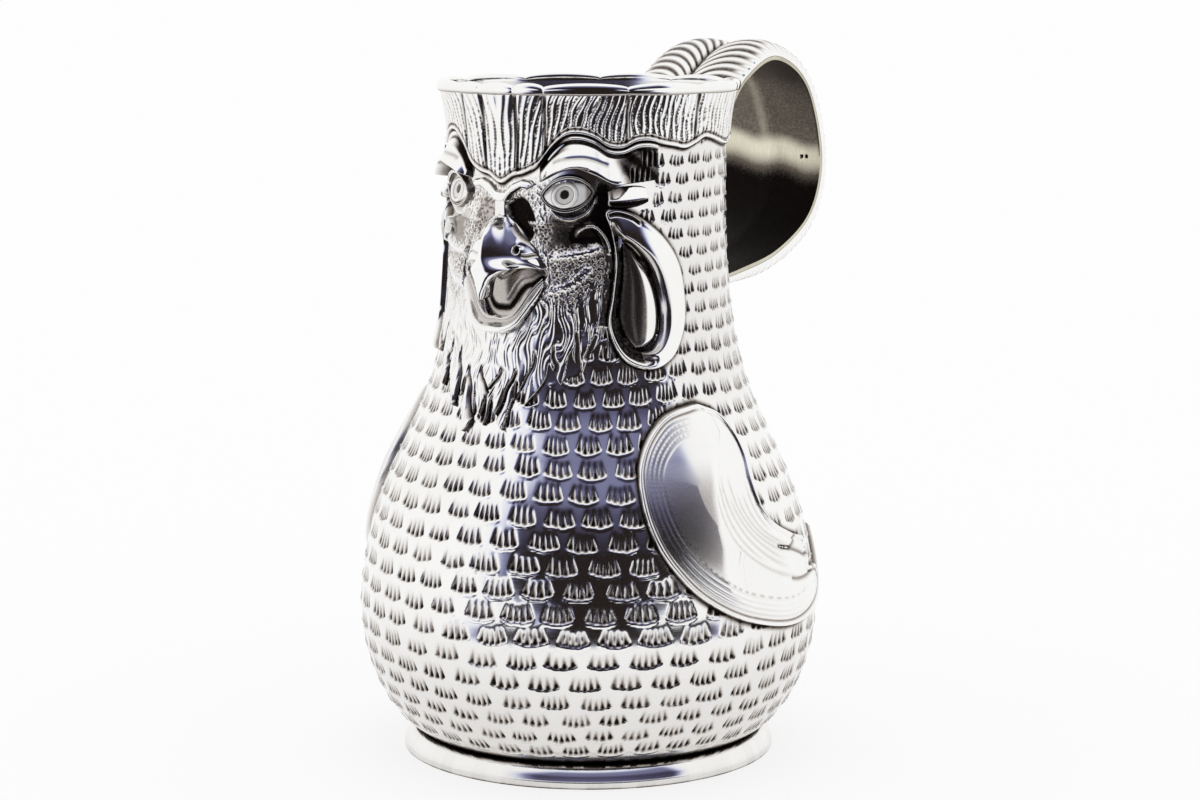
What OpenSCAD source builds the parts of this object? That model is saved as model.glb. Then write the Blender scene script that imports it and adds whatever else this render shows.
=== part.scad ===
// Wine jug in raised and chased silver, shaped as a rooster: a pear-shaped body on a spun foot, a face
// and a crest round the neck, a wing on each side, and a hollow two-lobed tail for a handle.
// The face looks along -Y and the tail stands at +Y. The origin is the middle of the foot's underside.

/* [Body] */
// Height of the lip above the table
jug_h = 200; // [190:1:230]
// Radius of the belly
belly_r = 68.6; // [64:0.2:74]
// Height of the widest part of the belly
belly_z = 45; // [40:1:52]
// Radius of the neck at its narrowest
neck_r = 40.8; // [38:0.2:45]
// Radius of the mouth, outside the wall
mouth_r = 43.3; // [41:0.1:47]
// Height over which the neck flares to the mouth
flare_h = 30; // [20:1:40]
// Thickness of the raised wall
wall = 1.1; // [0.8:0.1:1.6]

/* [Foot] */
// Radius of the foot on the table
foot_r = 55.8; // [53:0.2:60]
// Height of the foot ring
foot_h = 6.6; // [5:0.2:9]
// How far the foot stands out past the body that sits on it
foot_step = 5.4; // [3.6:0.2:8]
// Thickness of the spun foot ring
foot_wall = 1.3; // [1:0.1:1.8]
// Width of the flat ring that stands on the table
foot_land = 2.4; // [1.6:0.2:3.2]

/* [Crest and lip] */
// Depth of the crest below the mouth, in the middle of the face
crest_drop = 28.2; // [26:0.1:29]
// Thickness of the crest's locks
crest_t = 0.9; // [0.6:0.1:1.4]
// How far each lock swells out at the mouth
crest_flare = 0.5; // [0.2:0.1:0.8]
// Height of the lip
lip_h = 1.9; // [1.5:0.1:2.6]
// Height of the waves along the lip
lip_wave = 1.3; // [0.6:0.1:1.6]

/* [Face] */
// Distance of the eyes below the mouth
eye_drop = 30.5; // [30:0.1:31.5]
// Distance of each eye from the middle of the face, along the neck
eye_s = 20.5; // [20:0.1:21]
// Width of the eye over its lids
eye_w = 15.2; // [13:0.1:15.4]
// Height of the eye over its lids
eye_h = 10.8; // [9:0.1:11]
// Width of a lid
lid_w = 1.4; // [1:0.1:1.8]
// Height of the lids over the body
lid_rise = 1.6; // [1.2:0.1:2.4]
// Height of the eyeball's dome over the body
eyeball_rise = 1.5; // [1:0.1:2.2]
// Half the length of the brow, along the neck
brow_s = 47; // [45:0.5:48]
// Height of the brow over the body
brow_rise = 2; // [1.5:0.1:3]
// Length of the bar behind the eye
ear_bar_w = 13; // [10:0.5:13.5]
// Width of the bar behind the eye
ear_bar_h = 4.4; // [3:0.1:4.8]
// Height of the bar over the body
ear_bar_rise = 1.2; // [0.8:0.1:1.8]

/* [Beak, cheeks and beard] */
// Width of the beak at the corners of the mouth
beak_w = 27.6; // [24:0.2:28]
// Height of the beak from its root, between the eyes, to the lower lip
beak_h = 29.5; // [27:0.5:30]
// How far the beak stands out from the neck
beak_rise = 10.2; // [8:0.1:13]
// Thickness of the hooked end of the beak
beak_t = 2; // [1.5:0.1:2.6]
// Height of the lower beak's lip over the body
lip_rise = 4.4; // [3:0.1:5]
// Height of the cheek over the body
cheek_rise = 0.6; // [0.4:0.1:1]
// Height of the ear fold over the body
fold_rise = 1.5; // [1:0.1:2]
// Length of the beard
beard_h = 27.5; // [22:0.5:30]
// Half the width of the beard, along the neck
beard_s = 31; // [28:0.5:31]
// Height of the beard's locks over the body
beard_rise = 1.5; // [0.8:0.1:2]

/* [Ear lobes] */
// Width of an ear lobe
lobe_w = 23.8; // [20:0.2:25]
// Height of an ear lobe
lobe_h = 45.9; // [42:0.3:48]
// Distance of the ear lobe's front edge from the middle of the face, along the neck
lobe_s = 31; // [30.8:0.2:34]
// Height of the ear lobe's rim over the body
lobe_rise = 2.8; // [2:0.1:3.6]
// Height of the smooth drop inside the ear lobe
leaf_rise = 1.8; // [1:0.1:2.4]

/* [Wings] */
// Distance of the wing's foremost edge from the middle of the breast, along the belly
wing_s = 61; // [58:0.5:66]
// Length of the wing round the belly
wing_w = 97; // [84:1:102]
// How far the wing hangs below the widest part of the belly
wing_below = 1.3; // [0:0.1:4]
// Gap between the ear lobe and the wing's head, in height
wing_gap = 9.9; // [8:0.1:14]
// Height of the wing's dome over the body
wing_rise = 3.6; // [2.5:0.1:4.5]
// Height of the wing's crisp edge over the body
wing_edge = 1.1; // [0.8:0.1:1.6]

/* [Tail handle] */
// Width of the tail
tail_w = 38; // [32:0.5:40]
// Distance of the tail's plate from the jug's axis, at its furthest
tail_reach = 98.8; // [92:0.2:106]
// Height of the tail's plate over the mouth, at its highest
tail_over = 5.7; // [3:0.1:9]
// Distance of the tail's lower end below the mouth
tail_drop = 61; // [56:1:66]
// Thickness of the tail's two-lobed sheet
tail_t = 1; // [0.8:0.1:1.4]
// Thickness of the tail's plate
plate_t = 1; // [0.8:0.1:1.4]
// Height of the two lobes at the top of the tail
lobes_top = 3.4; // [2.6:0.1:5]
// Height of the two lobes at the back of the tail
lobes_back = 9.2; // [7:0.1:11]
// Diameter of a vent hole
vent_d = 0.9; // [0.6:0.1:1.4]
// Distance between the two vent holes
vent_pitch = 1.8; // [1.6:0.1:3]

/* [Hidden] */

// Solder line between a relief and the body, and between two reliefs side by side
seam = 0.12;
relief_gap = 0.35;
silver = [0.86, 0.86, 0.84];
dark_silver = [0.45, 0.44, 0.42];
$fn = 64;

// Curves and bands

function blend(a, b, t) = a + (b - a) * t;
function bump(t) = sin(180 * min(max(t, 0), 1));

// Value at t, from 0 to 1, of a smooth curve through evenly spaced values or points.
// A level curve starts and ends with no slope.
function curve(p, t, level = false) =
    let (n = len(p) - 1, x = min(max(t, 0), 1) * n, i = min(floor(x), n - 1), f = x - i,
        a = i > 0 ? p[i - 1] : level ? p[1] : p[0],
        d = i < n - 1 ? p[i + 2] : level ? p[n - 1] : p[n])
    p[i] + f * (p[i + 1] - a) / 2
        + f * f * (2 * a - 5 * p[i] + 4 * p[i + 1] - d) / 2
        + f * f * f * (3 * p[i] - a - 3 * p[i + 1] + d) / 2;

// The same on a closed curve, where the last point is followed by the first
function ring_curve(p, t) =
    let (n = len(p), x = t * n, i = floor(x) % n, f = x - floor(x),
        a = p[(i + n - 1) % n], b = p[i], c = p[(i + 1) % n], d = p[(i + 2) % n])
    b + f * (c - a) / 2
        + f * f * (2 * a - 5 * b + 4 * c - d) / 2
        + f * f * f * (3 * b - a - 3 * c + d) / 2;

// The body's outline, which every relief follows

foot_seat_r = foot_r - foot_step;
waist_z = jug_h - flare_h;
body_top = jug_h - lip_h;
floor_z = foot_h - wall * 1.6;
shoulder_shares = [1, 0.955, 0.86, 0.705, 0.495, 0.29, 0.15, 0.07, 0.027, 0.007, 0];

function body_r(z) =
    z < belly_z
        ? let (t = max(z - foot_h, 0) / (belly_z - foot_h))
          blend(foot_seat_r, belly_r, pow(1 - pow(1 - t, 2), 2 / 3))
    : z < waist_z
        ? blend(neck_r, belly_r, curve(shoulder_shares, (z - belly_z) / (waist_z - belly_z), level = true))
    : blend(neck_r, mouth_r, pow((z - waist_z) / flare_h, 3));

// Angle round the axis of a length s measured along a circle of radius r
function angle_of(s, r) = s / r * 180 / PI;
function neck_angle(s) = angle_of(s, neck_r);
// A point over the body: its angle from the middle of the face, its height, its distance from the wall
function on_body(place, lift) =
    let (r = body_r(place[1]) + lift)
    [r * sin(place[0]), -r * cos(place[0]), place[1]];

// A relief that lies on the body. Its places are rows of [angle, height], its fronts and backs are the
// distances from the wall. Rows run upwards where columns run to the right, and in a closed relief the
// last row is joined to the first.
module relief(places, fronts, backs = [], closed = false) {
    n = len(places);
    m = len(places[0]);
    rows = closed ? n : n - 1;
    function lift(side, i, j) = seam + (len(side) > 0 ? side[i][j] : 0);
    points = [for (side = [fronts, backs], i = [0:n - 1], j = [0:m - 1])
        on_body(places[i][j], lift(side, i, j))];
    function front(i, j) = (i % n) * m + j;
    function back(i, j) = n * m + front(i, j);
    // A patch is split along its shorter diagonal
    function rising(i, j) =
        norm(points[front(i, j)] - points[front(i + 1, j + 1)])
            < norm(points[front(i + 1, j)] - points[front(i, j + 1)]);
    function patch(a, b, c, d, rising) = rising ? [[a, b, c], [a, c, d]] : [[a, b, d], [b, c, d]];
    skin = [for (i = [0:rows - 1], j = [0:m - 2])
        each concat(
            patch(front(i, j), front(i + 1, j), front(i + 1, j + 1), front(i, j + 1), rising(i, j)),
            patch(back(i, j), back(i, j + 1), back(i + 1, j + 1), back(i + 1, j), rising(i, j)))];
    sides = [for (i = [0:rows - 1]) each [
        [front(i, 0), back(i + 1, 0), front(i + 1, 0)],
        [front(i, 0), back(i, 0), back(i + 1, 0)],
        [front(i, m - 1), front(i + 1, m - 1), back(i + 1, m - 1)],
        [front(i, m - 1), back(i + 1, m - 1), back(i, m - 1)]]];
    ends = closed ? [] : [for (j = [0:m - 2]) each [
        [front(0, j), front(0, j + 1), back(0, j + 1)],
        [front(0, j), back(0, j + 1), back(0, j)],
        [front(n - 1, j), back(n - 1, j + 1), front(n - 1, j + 1)],
        [front(n - 1, j), back(n - 1, j), back(n - 1, j + 1)]]];
    polyhedron(points = points, faces = concat(skin, sides, ends), convexity = 6);
}

// The same relief on the other side of the face
module on_right() {
    mirror([1, 0, 0]) children();
}

// Body and foot

body_steps = 60;
bottom_r = foot_seat_r - (foot_h - floor_z);
// Heights are closer together near the foot, where the wall turns fastest
body_heights = [for (i = [0:body_steps]) blend(foot_h, body_top, pow(i / body_steps, 1.4))];
// Direction square to the wall, towards the inside
function inwards(z) =
    let (step = seam / 10, d = [body_r(z + step) - body_r(z - step), 2 * step])
    [-d[1], d[0]] / norm(d);

module body_shell() {
    outer = [for (z = body_heights) [body_r(z), z]];
    inner = [for (i = [body_steps - 1:-1:1]) let (z = body_heights[i]) [body_r(z), z] + wall * inwards(z)];
    color(silver) rotate_extrude()
        polygon(concat(
            [[0, floor_z], [bottom_r, floor_z]],
            outer,
            [[body_r(body_top) - wall, body_top]],
            inner,
            [[bottom_r, floor_z + wall], [0, floor_z + wall]]));
}

module foot_ring() {
    top_r = foot_seat_r + seam;
    flange_r = bottom_r - foot_land;
    flange_z = floor_z - seam;
    neck_share = 0.4;
    roll_share = 0.25;
    steps = 12;
    // From the joint with the body the foot rolls out and down to its edge
    roll = [for (i = [0:steps]) let (a = 90 * i / steps) [
        blend(top_r + foot_wall * neck_share, foot_r, pow(sin(a), 0.6)),
        blend(foot_h * roll_share, foot_h - seam, pow(cos(a), 0.8))]];
    color(silver) rotate_extrude()
        polygon(concat(
            [[flange_r, flange_z], [bottom_r + seam, flange_z], [top_r, foot_h - seam]],
            roll,
            [[foot_r - foot_wall / 2, 0], [foot_r - foot_wall / 2 - foot_land, 0],
             [foot_r - foot_land - foot_wall, foot_h * roll_share],
             [bottom_r, flange_z - foot_wall], [flange_r, flange_z - foot_wall]]));
}

// Crest and lip

ring_steps = 90;
// How far the crest hangs below the mouth, as shares of its depth in the middle of the face, at even
// steps from there to the back
crest_shares = [1, 0.926, 0.89, 0.809, 0.628, 0.511, 0.493, 0.535, 0.624, 0.635, 0.574,
    0.567, 0.603, 0.628, 0.652, 0.61, 0.553, 0.571, 0.606, 0.638, 0.649, 0.617,
    0.585, 0.596, 0.617, 0.638, 0.649, 0.617, 0.585, 0.606, 0.628, 0.635, 0.638];
// Angles from the middle of the face at which one lock of the crest ends and the next begins
lock_ends = [-8, 8, 20, 52, 84, 116, 148, 180];

function turn(a) = let (b = abs(a) % 360) b > 180 ? 360 - b : b;
function crest_low(a) = jug_h - crest_drop * curve(crest_shares, turn(a) / 180, level = true);
// Swelling of the lock at an angle, from 0 between two locks to 1 in the middle of one
function lock_swell(a) =
    let (b = turn(a), k = max([for (i = [0:len(lock_ends) - 2]) if (b >= lock_ends[i]) i]))
    sqrt(max(bump((b - lock_ends[k]) / (lock_ends[k + 1] - lock_ends[k])), 0));
function crest_lift(a, t) = crest_t * (0.7 + 0.3 * lock_swell(a)) + crest_flare * lock_swell(a) * pow(t, 3);
// Width of the lip at an angle, and how far its bead stands out past that as a share of the width
function lip_w(swell) = wall + crest_t + crest_flare * swell;
bead_share = 0.1;
// Radius that clears the crest and the lip, at a height
function outer_r(z) =
    body_r(min(z, jug_h)) + crest_t
        + (crest_flare + bead_share * lip_w(1)) * pow(max(z - waist_z, 0) / flare_h, 2);

module crest() {
    levels = [1, 0.75, 0.4, 0.1, 0];
    angles = [for (i = [0:ring_steps - 1]) 360 * i / ring_steps];
    places = [for (a = angles) [for (t = levels) [a, blend(crest_low(a), body_top, t)]]];
    fronts = [for (a = angles) [for (t = levels) t > 0 ? crest_lift(a, t) : crest_t * 0.4]];
    color(silver) relief(places, fronts, closed = true);
}

module rim_lip() {
    low_z = body_top + seam;
    // The lip's section as [share of the width, share of the height]
    section_shares = [[0, 0], [1, 0], [1 + bead_share, 0.45], [0.9, 0.9], [0.5, 1], [0, 0.85]];
    m = len(section_shares);
    points = [for (i = [0:ring_steps - 1])
        let (a = 360 * i / ring_steps, swell = lock_swell(a),
            top = jug_h - low_z - lip_wave / 2 + lip_wave * swell)
        for (s = section_shares)
            let (r = mouth_r - wall + lip_w(swell) * s[0])
            [r * sin(a), -r * cos(a), low_z + top * s[1]]];
    function at(i, j) = (i % ring_steps) * m + j % m;
    faces = [for (i = [0:ring_steps - 1], j = [0:m - 1]) each [
        [at(i, j), at(i + 1, j + 1), at(i + 1, j)],
        [at(i, j), at(i, j + 1), at(i + 1, j + 1)]]];
    color(silver) polyhedron(points = points, faces = faces, convexity = 6);
}

// Brow and eyes. Heights on the face are measured from the line through the eyes.

eye_z = jug_h - eye_drop;
brow_steps = 44;
brow_drop = eye_drop + eye_h * 0.37;
// The brow's lower edge below the mouth, as shares of its depth in the middle, every tenth of its half
brow_shares = [1, 0.925, 0.846, 0.775, 0.706, 0.688, 0.74, 0.812, 0.81, 0.8, 0.785];

function brow_low(s) = jug_h - brow_drop * curve(brow_shares, abs(s) / brow_s);

module brow_comb() {
    across = [0, 0.12, 0.4, 0.75, 1];
    lift_shares = [0.3, 0.62, 1, 0.8, 0.3];
    spots = [for (i = [0:brow_steps]) blend(-brow_s, brow_s, i / brow_steps)];
    places = [for (s = spots) let (top = crest_low(neck_angle(s)) - relief_gap)
        [for (t = across) [neck_angle(s), blend(top, brow_low(s), t)]]];
    fronts = [for (s = spots) let (end_share = 0.45 + 0.55 * bump(0.5 + abs(s) / brow_s / 2))
        [for (l = lift_shares) brow_rise * l * end_share]];
    color(silver) relief(places, fronts);
}

// A lid is wider at the corners of the eye than over and under it
corner_share = 1.15;
// How far the eye rises towards its outer corner, as a share of the way
eye_tilt = 0.06;

// Outline of the eye round its centre, pointed at the corners
function almond(a, w, h) =
    [w / 2 * cos(a), h / 2 * sign(sin(a)) * pow(abs(sin(a)), 1.4)];
function eye_place(p) = [neck_angle(eye_s + p[0]), eye_z + p[1] + p[0] * eye_tilt];

module eyelids() {
    steps = 28;
    widths = [1, 0.5, 0];
    fronts = [0.75 * lid_rise, lid_rise, 0.4 * lid_rise];
    places = [for (i = [0:steps - 1]) let (a = 360 * i / steps)
        [for (k = widths) let (in = 2 * lid_w * k)
            eye_place(almond(a, eye_w - in * corner_share, eye_h - in))]];
    color(silver) relief(places, [for (i = [1:steps]) fronts], closed = true);
}

module eyeball() {
    steps = 12;
    w = eye_w - 2 * lid_w * corner_share - 2 * relief_gap;
    h = eye_h - 2 * lid_w - 2 * relief_gap;
    columns = 7;
    half_least = lid_rise / 16;
    places = [for (i = [0:steps])
        let (x = w * (i / steps - 0.5), y = h / 2 * pow(bump(i / steps), 1.2) + half_least)
        [for (j = [0:columns - 1]) eye_place([x, blend(y, -y, j / (columns - 1))])]];
    fronts = [for (i = [0:steps]) [for (j = [0:columns - 1])
        blend(0.35, 1, sqrt(bump(i / steps) * bump(0.1 + 0.8 * j / (columns - 1)))) * eyeball_rise]];
    color(silver) relief(places, fronts);
}

module ear_bar() {
    steps = 10;
    columns = 5;
    gap = eye_w * 0.24;
    s0 = eye_s + eye_w / 2 + gap;
    z0 = eye_z - ear_bar_h * 0.16;
    climb = ear_bar_h * 0.25;
    // Both ends of the bar are round
    places = [for (i = [0:steps])
        let (t = i / steps, half = ear_bar_h / 2 * pow(bump(0.06 + 0.88 * t), 0.4))
        [for (j = [0:columns - 1]) [neck_angle(s0 + ear_bar_w * t),
            z0 + blend(half, -half, j / (columns - 1)) + climb * (t - 0.5)]]];
    fronts = [for (i = [0:steps]) let (along = bump(0.08 + 0.84 * i / steps)) [for (j = [0:columns - 1])
        ear_bar_rise * blend(0.35, 1, sqrt(bump(j / (columns - 1)) * along))]];
    color(silver) relief(places, fronts);
}

// Beak, cheeks and beard

beak_top = eye_z - eye_h * 0.58;
neck_half = beak_w / 2;
// From the top of the beak down its ridge to the tip of the hook, every tenth of the way
ridge_z_shares = [0, 0.04, 0.095, 0.18, 0.28, 0.38, 0.475, 0.57, 0.66, 0.74, 0.81];
ridge_rise_shares = [0.06, 0.3, 0.55, 0.775, 0.92, 0.98, 1, 1, 0.97, 0.88, 0.7];
edge_s_shares = [0.12, 0.25, 0.41, 0.6, 0.79, 0.93, 1, 0.63, 0.33, 0.17, 0.06];
edge_z_shares = [0, 0.04, 0.1, 0.19, 0.31, 0.42, 0.515, 0.455, 0.5, 0.6, 0.77];
edge_rise_shares = [0.03, 0.04, 0.05, 0.06, 0.08, 0.1, 0.12, 0.36, 0.66, 0.74, 0.62];

module upper_beak() {
    steps = 15;
    columns = 9;
    hook_share = 0.6;
    spots = [for (i = [0:steps]) i / steps];
    across = [for (j = [0:columns - 1]) 1 - 2 * j / (columns - 1)];
    function lift(t, v) = beak_rise
        * blend(curve(ridge_rise_shares, t), curve(edge_rise_shares, t), pow(abs(v), 1.7));
    places = [for (t = spots) [for (v = across)
        [neck_angle(neck_half * curve(edge_s_shares, t) * v),
         beak_top - beak_h * blend(curve(ridge_z_shares, t), curve(edge_z_shares, t), pow(abs(v), 1.6))]]];
    fronts = [for (t = spots) [for (v = across) lift(t, v)]];
    backs = [for (t = spots) [for (v = across) t > hook_share ? max(lift(t, v) - beak_t, 0) : 0]];
    color(silver) relief(places, fronts, backs);
}

// From a corner of the mouth round the tip of the lower beak, inner and outer edge, as
// [share of half the beak's width, share of the beak's height below its top]
mouth_in_shares = [[0.89, 0.62], [0.64, 0.735], [0.47, 0.835], [0.26, 0.91], [0, 0.925]];
mouth_out_shares = [[0.98, 0.68], [0.76, 0.835], [0.54, 0.99], [0.28, 1.1], [0, 1.14]];

module lower_beak() {
    steps = 24;
    // From the trough behind the lip over its rim and down to the neck
    across = [0, 0.3, 0.6, 0.82, 1];
    rise_shares = [0.5, 0.45, 0.85, 1, 0.15];
    spots = [for (i = [0:steps]) 2 * i / steps - 1];
    places = [for (t = spots)
        let (p = curve(mouth_in_shares, 1 - abs(t)), q = curve(mouth_out_shares, 1 - abs(t)))
        [for (k = across) let (b = blend(p, q, k))
            [neck_angle(neck_half * sign(t) * b[0]), beak_top - beak_h * b[1]]]];
    fronts = [for (t = spots) [for (l = rise_shares) lip_rise * l * blend(0.28, 1, pow(1 - abs(t), 0.8))]];
    color(silver) relief(places, fronts);
}

cheek_top = beak_top - beak_h * 0.06;
cheek_h = beak_h * 1.03;
// Front and back edges of the cheek from its foot to its top: the front follows the beak, the back
// follows the ear lobe, both as shares of half the beak's width
cheek_front_shares = [0.5, 0.68, 0.86, 1.07, 1.13, 1.09, 0.98, 0.8, 0.62];
cheek_back_shares = [0.93, 0.965, 0.975, 0.985, 1, 1.015, 0.995, 0.94, 0.82];

module cheek() {
    steps = 12;
    // The last three columns are the ear fold's front, its crest and its back
    across = [0, 0.2, 0.45, 0.7, 0.88, 0.95, 1];
    spots = [for (i = [0:steps]) i / steps];
    places = [for (t = spots) let (s0 = neck_half * curve(cheek_front_shares, t),
            s1 = (lobe_s - relief_gap) * curve(cheek_back_shares, t))
        [for (k = across) [neck_angle(blend(s0, s1, k)), cheek_top + cheek_h * (t - 1)]]];
    fronts = [for (t = spots) let (fold = fold_rise * bump(t * 0.75 + 0.12))
        [for (j = [0:len(across) - 1])
            j < 4 ? cheek_rise * (1 - 0.5 * pow(1 - across[j], 4))
            : j < 6 ? max(fold, cheek_rise)
            : cheek_rise * 0.6]];
    color(silver) relief(places, fronts);
}

beard_tips = 9;
// Length of the beard from its middle tip to its outer one, as shares of its length
beard_shares = [1, 0.9, 0.74, 0.56, 0.38, 0.22];

module beard() {
    per_tip = 4;
    steps = beard_tips * per_tip;
    across = [0, 0.15, 0.5, 0.8, 1];
    lift_shares = [0.35, 0.6, 1, 0.85, 0.3];
    low_lip = beak_top - beak_h * 1.14 - relief_gap;
    side_top = cheek_top - cheek_h - relief_gap;
    notch = beard_h * 0.24;
    function top_z(s) =
        blend(side_top, min(low_lip, side_top), pow(max(1 - abs(s) / (neck_half * 0.5), 0), 0.6));
    function tip(i) = abs((i % per_tip) - per_tip / 2) / (per_tip / 2);
    places = [for (i = [0:steps]) let (s = blend(-beard_s, beard_s, i / steps), top = top_z(s),
            low = low_lip - beard_h * curve(beard_shares, abs(s) / beard_s) + notch * tip(i))
        [for (k = across) [neck_angle(s), blend(top, min(low, top - notch / 2), k)]]];
    fronts = [for (i = [0:steps]) [for (l = lift_shares) beard_rise * l * (1 - 0.35 * tip(i))]];
    color(silver) relief(places, fronts);
}

// Ear lobes. Points are [share of the width, share of the height], counter-clockwise from the bottom.

lobe_z = eye_z - eye_h * 0.38 - lobe_h;
lobe_outer_shares = [[0.45, 0], [0.67, 0.03], [0.85, 0.12], [0.985, 0.29], [1, 0.49], [0.93, 0.66],
    [0.74, 0.81], [0.45, 0.935], [0.17, 1], [0, 0.98], [0.06, 0.86], [0.11, 0.68], [0.07, 0.46],
    [0.02, 0.3], [0.08, 0.16], [0.22, 0.05]];
lobe_inner_shares = [[0.4, 0.11], [0.51, 0.125], [0.6, 0.17], [0.665, 0.26], [0.675, 0.39], [0.62, 0.54],
    [0.51, 0.66], [0.345, 0.745], [0.24, 0.79], [0.175, 0.82], [0.165, 0.76], [0.18, 0.65], [0.145, 0.47],
    [0.125, 0.32], [0.18, 0.215], [0.28, 0.14]];
leaf_left_shares = [[0.33, 0.14], [0.22, 0.22], [0.165, 0.33], [0.18, 0.47], [0.205, 0.6],
    [0.205, 0.72], [0.2, 0.78]];
leaf_right_shares = [[0.43, 0.14], [0.58, 0.2], [0.635, 0.31], [0.62, 0.44], [0.53, 0.58],
    [0.38, 0.69], [0.23, 0.78]];

function lobe_place(p) = [neck_angle(lobe_s + lobe_w * p[0]), lobe_z + lobe_h * p[1]];

module ear_lobe() {
    steps = 36;
    across = [0, 0.35, 0.75, 1];
    rise_shares = [0.45, 0.85, 1, 0.3];
    thin = 0.55;
    places = [for (i = [0:steps - 1])
        let (p = ring_curve(lobe_inner_shares, i / steps), q = ring_curve(lobe_outer_shares, i / steps))
        [for (k = across) lobe_place(blend(p, q, k))]];
    // The rim is thick down its back and thin along its front
    fronts = [for (i = [0:steps - 1]) [for (l = rise_shares)
        lobe_rise * l * blend(thin, 1, bump(i / steps * 1.5))]];
    color(silver) relief(places, fronts, closed = true);
}

module ear_leaf() {
    steps = 12;
    columns = 6;
    places = [for (i = [0:steps])
        let (p = curve(leaf_left_shares, i / steps), q = curve(leaf_right_shares, i / steps))
        [for (j = [0:columns - 1]) lobe_place(blend(p, q, j / (columns - 1)))]];
    fronts = [for (i = [0:steps]) [for (j = [0:columns - 1])
        leaf_rise * blend(0.25, 1, pow(bump(j / (columns - 1)), 0.7) * pow(bump(i / steps), 0.6))]];
    color(dark_silver) relief(places, fronts);
}

// Wings. Points are [share of the length round the belly, share of the height], from the top of the
// wing's head to the tips of its tail: the back edge, then the front edge.

wing_low = belly_z - wing_below;
wing_high = lobe_z - wing_gap;
wing_back_shares = [[0.315, 0.998], [0.42, 0.95], [0.475, 0.86], [0.49, 0.76], [0.475, 0.66], [0.48, 0.56],
    [0.52, 0.475], [0.59, 0.42], [0.67, 0.38], [0.75, 0.365], [0.83, 0.4], [0.87, 0.5]];
wing_front_shares = [[0.28, 0.998], [0.15, 0.965], [0.06, 0.88], [0.01, 0.77], [0, 0.65], [0.02, 0.5],
    [0.075, 0.345], [0.18, 0.185], [0.35, 0.06], [0.6, 0], [0.86, 0.1], [1, 0.36]];
// How far down the wing each column of feathers reaches, from the back edge to the front one
feather_shares = [0.77, 0.81, 0.825, 0.83, 0.88, 0.9, 0.905, 0.96, 1];

module wing() {
    steps = 24;
    columns = len(feather_shares);
    s_angle = angle_of(wing_w, belly_r);
    a0 = angle_of(wing_s, belly_r);
    places = [for (i = [0:steps]) [for (j = [0:columns - 1])
        let (t = i / steps * feather_shares[j],
            p = blend(curve(wing_back_shares, t), curve(wing_front_shares, t), j / (columns - 1)))
        [a0 + s_angle * p[0], blend(wing_low, wing_high, p[1])]]];
    fronts = [for (i = [0:steps]) let (t = i / steps) [for (j = [0:columns - 1])
        blend(wing_edge, wing_rise, pow(bump(j / (columns - 1)), 0.8) * pow(bump(0.04 + 0.84 * t), 0.6))]];
    // Its flat patches bridge the round belly, so the back clears it, most of all inside the edges
    bridge = pow(wing_w / (columns - 1), 2) / belly_r / 8;
    backs = [for (i = [0:steps]) [for (j = [0:columns - 1])
        bridge * (i > 0 && j > 0 && j < columns - 1 ? 1.7 : 0.75)]];
    color(silver) relief(places, fronts, backs);
}

// Tail. Its plate follows a line in the plane x = 0, and the two-lobed sheet stands on the plate's outside.

// The line's points as [share of the reach from the neck, share of the height from its lower end]
tail_shares = [[-0.12, 0.58], [0.06, 0.74], [0.25, 0.91], [0.54, 1], [0.85, 0.86], [1, 0.52], [0.9, 0.25],
    [0.57, 0.08], [0.2, 0.01], [-0.12, -0.02]];
tail_steps = 30;
tail_low = jug_h - tail_drop;
tail_high = jug_h + tail_over;

function tail_line(t) =
    let (p = curve(tail_shares, t))
    [blend(neck_r, tail_reach, p[0]), blend(tail_low, tail_high, p[1])];
// Outward direction across the line, in the same plane
function tail_out(t) =
    let (step = 0.01, p = tail_line(min(t + step, 1)) - tail_line(max(t - step, 0)))
    [-p[1], p[0]] / norm(p);
// A point of the tail: how far along the line, how far across it, how far out from it
function tail_point(t, x, h) =
    let (p = tail_line(t) + tail_out(t) * h)
    [x, p[0], p[1]];
function beyond_seat(p) = norm([p[0], p[1]]) > outer_r(p[2]) + seam;
// Where a strand of the tail leaves the neck, found by halving between a place inside the neck and the
// middle of the tail
function seat_t(x, h, inside, outside = 0.5, left = 14) =
    let (mid = (inside + outside) / 2)
    left == 0 ? outside
    : beyond_seat(tail_point(mid, x, h)) ? seat_t(x, h, inside, mid, left - 1)
    : seat_t(x, h, mid, outside, left - 1);

// Height of the lobes along the tail
function lobes_h(t) = blend(lobes_top, lobes_back, pow(bump((t - 0.22) / 0.75), 1.5));
// Section of the lobes from one edge over both crests to the other, as [share of half the width, share of
// the height]: each lobe is an arc that stops above the valley between them
valley_angle = 148;
section_steps = 8;
function lobe_arc(i) =
    let (a = valley_angle * i / section_steps)
    [(cos(a) - cos(valley_angle)) / (1 - cos(valley_angle)), sin(a)];
section = concat([for (i = [0:section_steps]) lobe_arc(i)],
    [for (i = [section_steps - 1:-1:0]) let (p = lobe_arc(i)) [-p[0], p[1]]]);

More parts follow.
